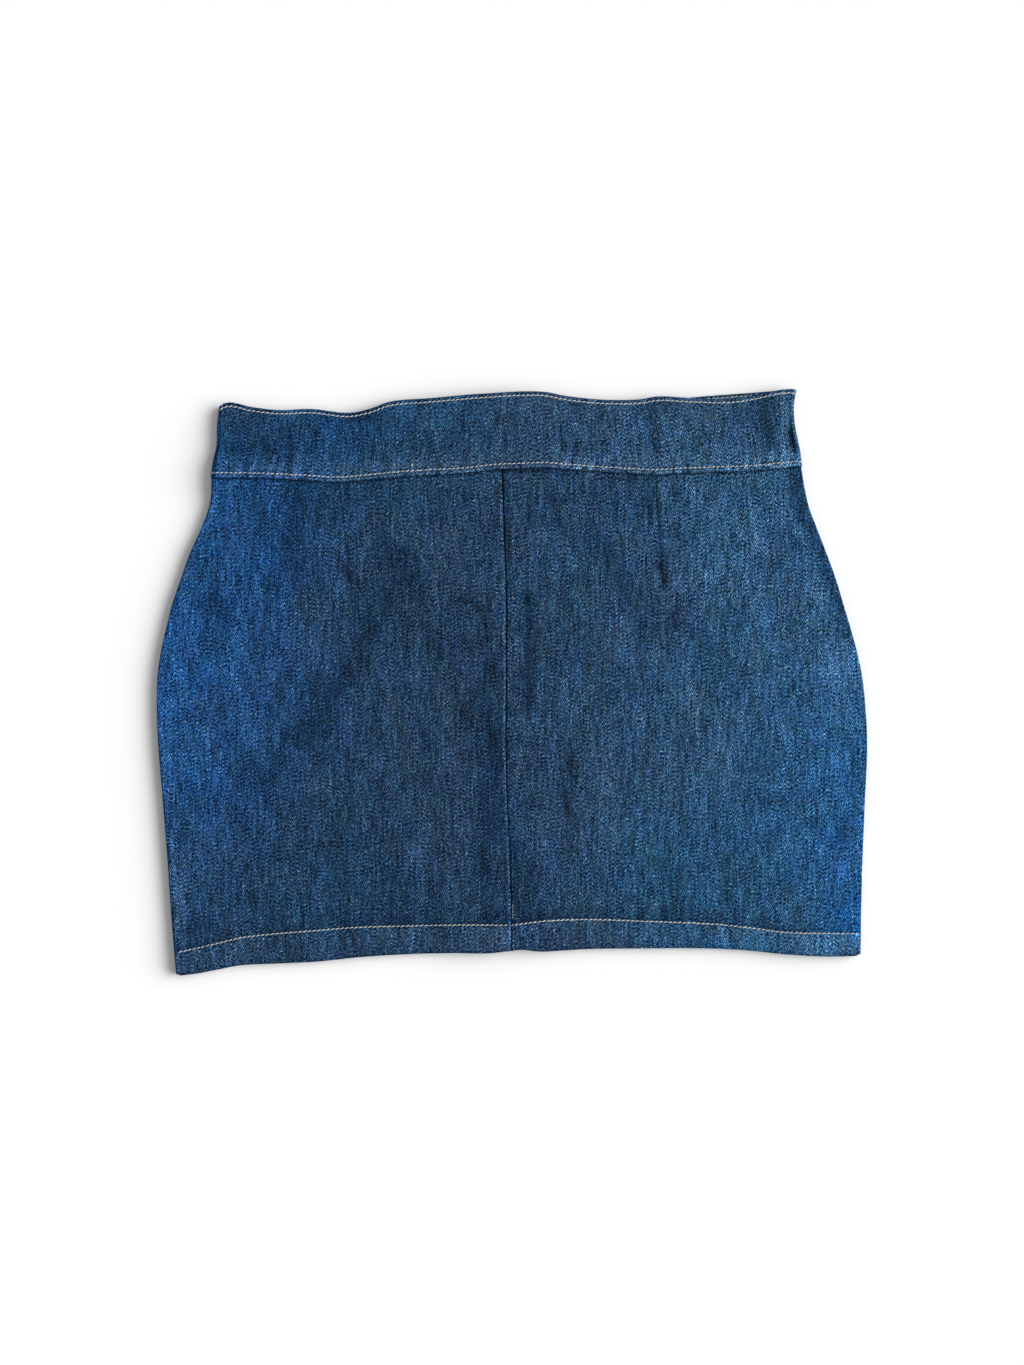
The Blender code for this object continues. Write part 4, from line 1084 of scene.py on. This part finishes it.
def backPanel(edge, direction):
    seamLine = lambda y: backSeam + direction * sewing["gap"] / 2
    seam = lambda y, kinds: seamLine(y) + direction * insetOf(kinds, False)
    side = lambda y, kinds: edge(y) - direction * insetOf(kinds, True)
    columns = turnedMargin(seamLine, -direction, "centre", 1)[::-1]
    columns += flatColumns(seam, side, steppedShares(*panelSteps["back"]))
    columns += turnedMargin(edge, direction, "side", 1)
    return panelGrid(panelRows(1, panelSteps["backRows"]), columns, backHeight, backDetail, backTone)


panelGrids = {
    "frontPanelLeft": frontLeftPanel(),
    "frontPanelRight": frontRightPanel(),
    "backPanelLeft": backPanel(panelLeft, -1),
    "backPanelRight": backPanel(panelRight, 1),
}
panels = {name: gridMesh(name, grid, name == "backPanelRight") for name, grid in panelGrids.items()}
print("panels ready")

band = {
    "height": 48.0,
    "inner": (2.0, 0.9),    # step and finest step of the rows on the inner layer, and on the outer one
    "outer": (1.1, 0.45),
    "frontCells": 250,
    "backColumns": (185.0, 2.0, 0.9),
    "turnSteps": 9,
    "foldSteps": 7,
    "endGap": 0.65,         # from the back seam to each end
    "lowerStitch": 3.0,     # above the lower edge
    "upperStitch": 2.5,     # below the top edge
    "bead": 0.42,           # height of the turned-in lower edge
    "beadEdge": 0.3,
    "topRidge": 0.12,
    "waves": 0.8,
}
# painted light and shade on the band: a painted highlight on the bead, painted shade at its lower edge and
# beside the stitches, lighter overall and on its lower part
bandShade = {"all": 0.06, "bead": 0.62, "edge": -0.25, "stitches": -0.42, "lowerPart": 0.22}


def bandRows():
    # up the inner layer, over the fold and down the outer one: share of the height, side, and
    # on the fold the drop below the top, elsewhere -1
    height = band["height"]
    rows = [(share, -1.0, -1.0) for share in steppedShares(height, *band["inner"])[:-1]]
    for step in range(band["foldSteps"] + 1):
        turn = math.pi * (step / band["foldSteps"] - 0.5)
        rows.append((1.0, math.sin(turn), foldReach - foldRadius * math.cos(turn)))
    rows += [(1.0 - share, 1.0, -1.0) for share in steppedShares(height, *band["outer"])[1:]]
    return (np.array(values)[:, None] for values in zip(*rows))


bandShare, bandSide, bandDropped = bandRows()


def bandDetail(x, y, waist):
    above, below = aboveBandSeam(x, y), waist(x) - y
    fromStitch = above - band["lowerStitch"]
    total = puckerHeight(x, np.maximum(fromStitch, 0.0), bandPuckers, pucker["lean"])
    total *= bell(np.minimum(fromStitch, 0.0), 0.0, 1.5)
    total += band["waves"] * wavesAt(x * 1.3, y * 2.0) * ease((above - 4.0) / 8.0)
    total += marks(x, y, bandCreases, 1)
    total += band["bead"] * swell(above - 1.3, 1.1) - band["beadEdge"] * swell(above, 0.5)
    total += stitchGroove(fromStitch) + stitchGroove(below - band["upperStitch"])
    return total + band["topRidge"] * swell(below - 1.2, 0.8)


# painted light and shade on the band's face, with its pucker tops rubbed paler and painted lighter
def bandLightShadeAndWear(x, y):
    above = aboveBandSeam(x, y)
    fromStitch = np.maximum(above - band["lowerStitch"], 0.0)
    tone = bandShade["all"] + bandShade["bead"] * swell(above - 1.05, 0.6)
    tone += bandShade["edge"] * swell(above, 0.5)
    tone += marks(x, y, bandCreases, 2) + marks(x, y, bandPaintedLightAndShade, 1)
    tone += bandShade["stitches"] * swell(np.abs(above - band["lowerStitch"]) - 1.25, 0.5)
    tone += bandShade["lowerPart"] * (1 - ease(fromStitch / 16.0)) * ease(above / 2.0)
    return tone + pucker["wearAndHighlight"] * puckerHeight(x, fromStitch, bandPuckers, pucker["lean"])


def bandStrip(kind, place, turn=0.0):
    waist = backWaist if kind == "back" else frontWaist

    def levelAt(x, line):
        spread = mix(bandSeam(x), line(x) - foldReach, bandShare)
        return np.where(bandDropped < 0, spread, line(x) - bandDropped)

    x = np.zeros((len(bandShare), len(place)))
    for _ in range(4):
        y = levelAt(x, waist)
        front, back = frontBandHeight(x, y), backBandHeight(x, y)
        radius, spread = (front - back) / 2, bandLayer(x, y)
        inset = radius + spread + sewing["cloth"] / 2
        left, right = bandLeft(y) + inset, bandRight(y) - inset
        if kind == "front":
            x = mix(right, left, place)
        elif kind == "back":
            end = backSeam + np.copysign(band["endGap"], place)
            x = mix(end, np.where(place > 0, right, left), np.abs(place) - 1.0)
        else:
            x = np.where(place > 0, right, left)
    outer = np.clip(bandSide, 0.0, 1.0)
    if kind == "front":
        z = front + bandSide * spread + outer * bandDetail(x, y, frontWaist)
        return np.stack((x, y, z), -1), bandLightShadeAndWear(x, y) * outer
    if kind == "back":
        groove = stitchGroove(aboveBandSeam(x, y) - band["lowerStitch"])
        groove = groove + stitchGroove(backWaist(x) - y - band["upperStitch"])
        return np.stack((x, y, back - bandSide * spread - bandSide * groove), -1), 0.0 * x
    reach = radius + bandSide * spread
    level = (levelAt(x, frontWaist) + levelAt(x, backWaist)) / 2
    z = (front + back) / 2 + reach * np.sin(turn)
    return np.stack((x + place * reach * np.cos(turn), level, z), -1), 0.0 * x


def lengthsAlong(line):
    return np.concatenate(([0.0], np.cumsum(np.linalg.norm(np.diff(line, axis=0), axis=1))))


def waistbandGrid():
    turns = math.pi * (np.arange(1, band["turnSteps"]) / band["turnSteps"] - 0.5)
    backShares = 1.0 + steppedShares(*band["backColumns"])
    strips = [
        bandStrip("back", backShares),
        bandStrip("turn", np.ones(len(turns)), turns),
        bandStrip("front", np.arange(band["frontCells"] + 1) / band["frontCells"]),
        bandStrip("turn", -np.ones(len(turns)), -turns),
        bandStrip("back", -backShares[::-1]),
    ]
    points, tone = (np.concatenate([strip[n] for strip in strips], 1) for n in (0, 1))
    heights = np.linalg.norm(np.diff(points, axis=0), axis=2).mean(1)
    depth = np.concatenate(([0.0], np.cumsum(heights)))
    length = lengthsAlong(points[len(points) // 2])
    cut = np.stack(np.broadcast_arrays(-length[None, :], -depth[:, None]), -1)
    return {"points": points, "cut": cut, "present": np.ones(tone.shape, bool), "tone": tone,
            "past": np.full(tone.shape, 100.0)}


bandGrid = waistbandGrid()
waistband = gridMesh("waistbandStrip", bandGrid, True)
print("waistband ready")

stitch = {
    "pitch": 3.0,
    "radius": 0.29,
    "half": 0.55,           # half a stitch, as a share of the pitch
    "slant": 0.42,          # sideways drift of each stitch, like a laid rope
    "rise": 0.30,
    "sink": 0.42,
    "lengths": (0.93, 1.04),
    "slants": (0.7, 1.25),
    "rises": (0.85, 1.15),
    "flatRise": (0.4, 0.12),    # pressed threads rise less and sit deeper
    "tall": 0.9,
    "flatTall": 0.5,
    "rings": 9,
    "sides": 7,
    "ply": 0.10,
    "twist": 2.4,
    "seed": 5,
}


def stitchRun(name, line, normals, flat=False, gap=1.0, pitch=stitch["pitch"], radius=stitch["radius"]):
    # separate slanted stitches along a line on the cloth's face
    length = lengthsAlong(line)
    count = int(length[-1] // pitch)
    centres = (length[-1] - count * pitch) / 2 + (np.arange(count) + 0.5) * pitch
    dice = random.Random(stitch["seed"])
    rings, sides = stitch["rings"], stitch["sides"]
    s = np.linspace(-1.0, 1.0, rings)
    around = np.arange(sides) * 2 * math.pi / sides
    taper = radius * np.sqrt(np.clip(1.0 - 0.8 * s ** 4, 0.0, 1.0))
    height = stitch["flatTall"] if flat else stitch["tall"]
    points, faces = [], []
    for centre in centres:
        half = pitch * stitch["half"] * gap * dice.uniform(*stitch["lengths"])
        slant = stitch["slant"] * dice.uniform(*stitch["slants"])
        lifted = dice.uniform(*stitch["rises"])
        at = np.clip(centre + s * half, 0.0, length[-1])
        core, up = (np.stack([np.interp(at, length, values[:, k]) for k in range(3)], 1)
                    for values in (line, normals))
        along = np.gradient(core, axis=0)
        along /= np.linalg.norm(along, axis=1)[:, None]
        side = np.cross(up, along)
        side /= np.linalg.norm(side, axis=1)[:, None]
        rise = stitch["rise"] * lifted * (1 - s ** 2) - stitch["sink"] * s ** 4
        if flat:
            rise = rise * stitch["flatRise"][0] - stitch["flatRise"][1]
        core = core + up * rise[:, None] + side * (slant * s)[:, None]
        base = len(points)
        for k in range(rings):
            twist = 1 + stitch["ply"] * np.cos(2 * (around - stitch["twist"] * s[k]))
            wide = taper[k] * twist * np.cos(around)
            tall = taper[k] * twist * np.sin(around) * height
            points.extend((core[k] + wide[:, None] * side[k] + tall[:, None] * up[k]).tolist())
        for low in range(base, base + (rings - 1) * sides, sides):
            for a in range(sides):
                b = (a + 1) % sides
                faces.append((low + a, low + b, low + sides + b, low + sides + a))
        faces.append(tuple(base + a for a in reversed(range(sides))))
        faces.append(tuple(base + (rings - 1) * sides + a for a in range(sides)))
    mesh = newMesh(name, points, faces, (ecruThread,))
    mesh.shade_smooth()
    piece = linkObject(name, mesh)
    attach(piece, "skirt")
    return piece


def stitchLine(points, row, outward):
    # a row of a grid whose rows run down the face, raised to the cloth's surface
    normals = np.cross(np.gradient(points, axis=0), np.gradient(points, axis=1))
    normals = normals / np.linalg.norm(normals, axis=2)[:, :, None] * outward
    return points[row] + normals[row] * sewing["cloth"] / 2, normals[row]


def hemThread(name, panel, outward, flat):
    grid = panelGrids[panel]
    rows = [j for j, kind in enumerate(grid["kinds"]) if kind == "hem"]
    points = grid["points"][:, grid["present"][-1]]
    middle = points.shape[1] // 2
    start = points[rows[0], middle, 0]
    row = min(rows, key=lambda j: abs(points[j, middle, 1] - (hemEdge(start) + hemDepth(start))))
    return stitchRun(name, *stitchLine(points, row, outward), flat)


hemThreads = {
    "left": hemThread("hemThreadLeft", "frontPanelLeft", 1.0, False),
    "right": hemThread("hemThreadRight", "frontPanelRight", 1.0, False),
    "backLeft": hemThread("hemThreadBackLeft", "backPanelLeft", 1.0, True),
    "backRight": hemThread("hemThreadBackRight", "backPanelRight", -1.0, True),
}


def looseThread(name, start, end, pitch, radius):
    # bits of thread that lie on the front
    at = np.linspace(0.0, 1.0, 12)[:, None]
    x, y = (np.array(start) + (np.array(end) - np.array(start)) * at).T
    if y[0] > bandSeam(x[0]):
        z = frontBandHeight(x, y) + bandLayer(x, y) + bandDetail(x, y, frontWaist)
    else:
        z = frontRightHeight(x, y) + panelDetail(x, y)
    line = np.stack((x, y, z + sewing["cloth"] / 2), 1)
    return stitchRun(name, line, np.tile((0.0, 0.0, 1.0), (len(at), 1)), False, 0.8, pitch, radius)


def bandThread(name, fromTop, columns, flat, outerSide=True, gap=1.0, radius=stitch["radius"]):
    points = bandGrid["points"][:, columns]
    x, y, z = points[:, points.shape[1] // 2].T
    waist = backWaist if z[0] < frontLevel / 2 + 1.0 else frontWaist
    away = waist(x) - y - band["upperStitch"] if fromTop else aboveBandSeam(x, y) - band["lowerStitch"]
    usable = (bandDropped < 0) & ((bandSide > 0) == outerSide)
    row = min(np.flatnonzero(usable), key=lambda j: abs(away[j]))
    return stitchRun(name, *stitchLine(points, row, -1.0), flat, gap, radius=radius)


frontStart = len(steppedShares(*band["backColumns"]))
frontStop = frontStart + 2 * (band["turnSteps"] - 1) + band["frontCells"] + 1
frontColumns = slice(frontStart, frontStop)
rightColumns, leftColumns = slice(frontStart), slice(frontStop, None)
bandThreads = [
    bandThread("bandThreadFrontLower", False, frontColumns, False, gap=0.92, radius=0.25),
    bandThread("bandThreadFrontTop", True, frontColumns, False),
    bandThread("bandThreadBackRightLower", False, rightColumns, True),
    bandThread("bandThreadBackRightTop", True, rightColumns, True),
    bandThread("bandThreadBackLeftLower", False, leftColumns, True),
    bandThread("bandThreadBackLeftTop", True, leftColumns, True),
    bandThread("bandThreadInsideRight", True, rightColumns, False, False),
]
bandLints = [looseThread("bandLintLeft", (-75.7, 138.7), (-74.3, 139.1), 1.25, 0.32),
             looseThread("bandLintRight", (-64.8, 138.8), (-63.2, 139.0), 1.5, 0.46)]
seamTack = looseThread("seamTack", (0.4, -141.0), (0.4, -151.5), 1.9, 0.12)
print("topstitching ready")

solidFinishes = {
    "zip_tape_left": (navyTape, "zip_tape"), "zip_tape_right": (navyTape, "zip_tape"),
    "zip_slider": (dullNickel, "zip_metal"), "zip_pull": (dullNickel, "zip_metal"),
    "dart_left": (denimInside, "denim_inside"), "dart_right": (denimInside, "denim_inside"),
}
for nodeName, (material, slotName) in solidFinishes.items():
    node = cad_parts[nodeName]
    node.data.materials.clear()
    node.data.materials.append(material)

standsFor = {"frontPanelLeft": "front_panel_left", "frontPanelRight": "front_panel_right",
             "backPanelLeft": "back_panel_left", "backPanelRight": "back_panel_right"}
for name, piece in panels.items():
    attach(piece, "skirt")
    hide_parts(standsFor[name])
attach(waistband, "skirt")
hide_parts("waistband")

tableTop = {"reach": 6000.0, "level": -0.1, "paleness": (0.92, 0.92, 0.92, 1.0), "roughness": 0.95}
paleTable = newMaterial("paleTable", {"Base Color": tableTop["paleness"], "Roughness": tableTop["roughness"],
                                      "Specular IOR Level": 0.0})[0]
corners = [(x * tableTop["reach"], y * tableTop["reach"], tableTop["level"])
           for x, y in ((-1, -1), (1, -1), (1, 1), (-1, 1))]
table = linkObject("paleTable", newMesh("paleTable", corners, [(0, 1, 2, 3)], (paleTable,)))

print("skirt ready")
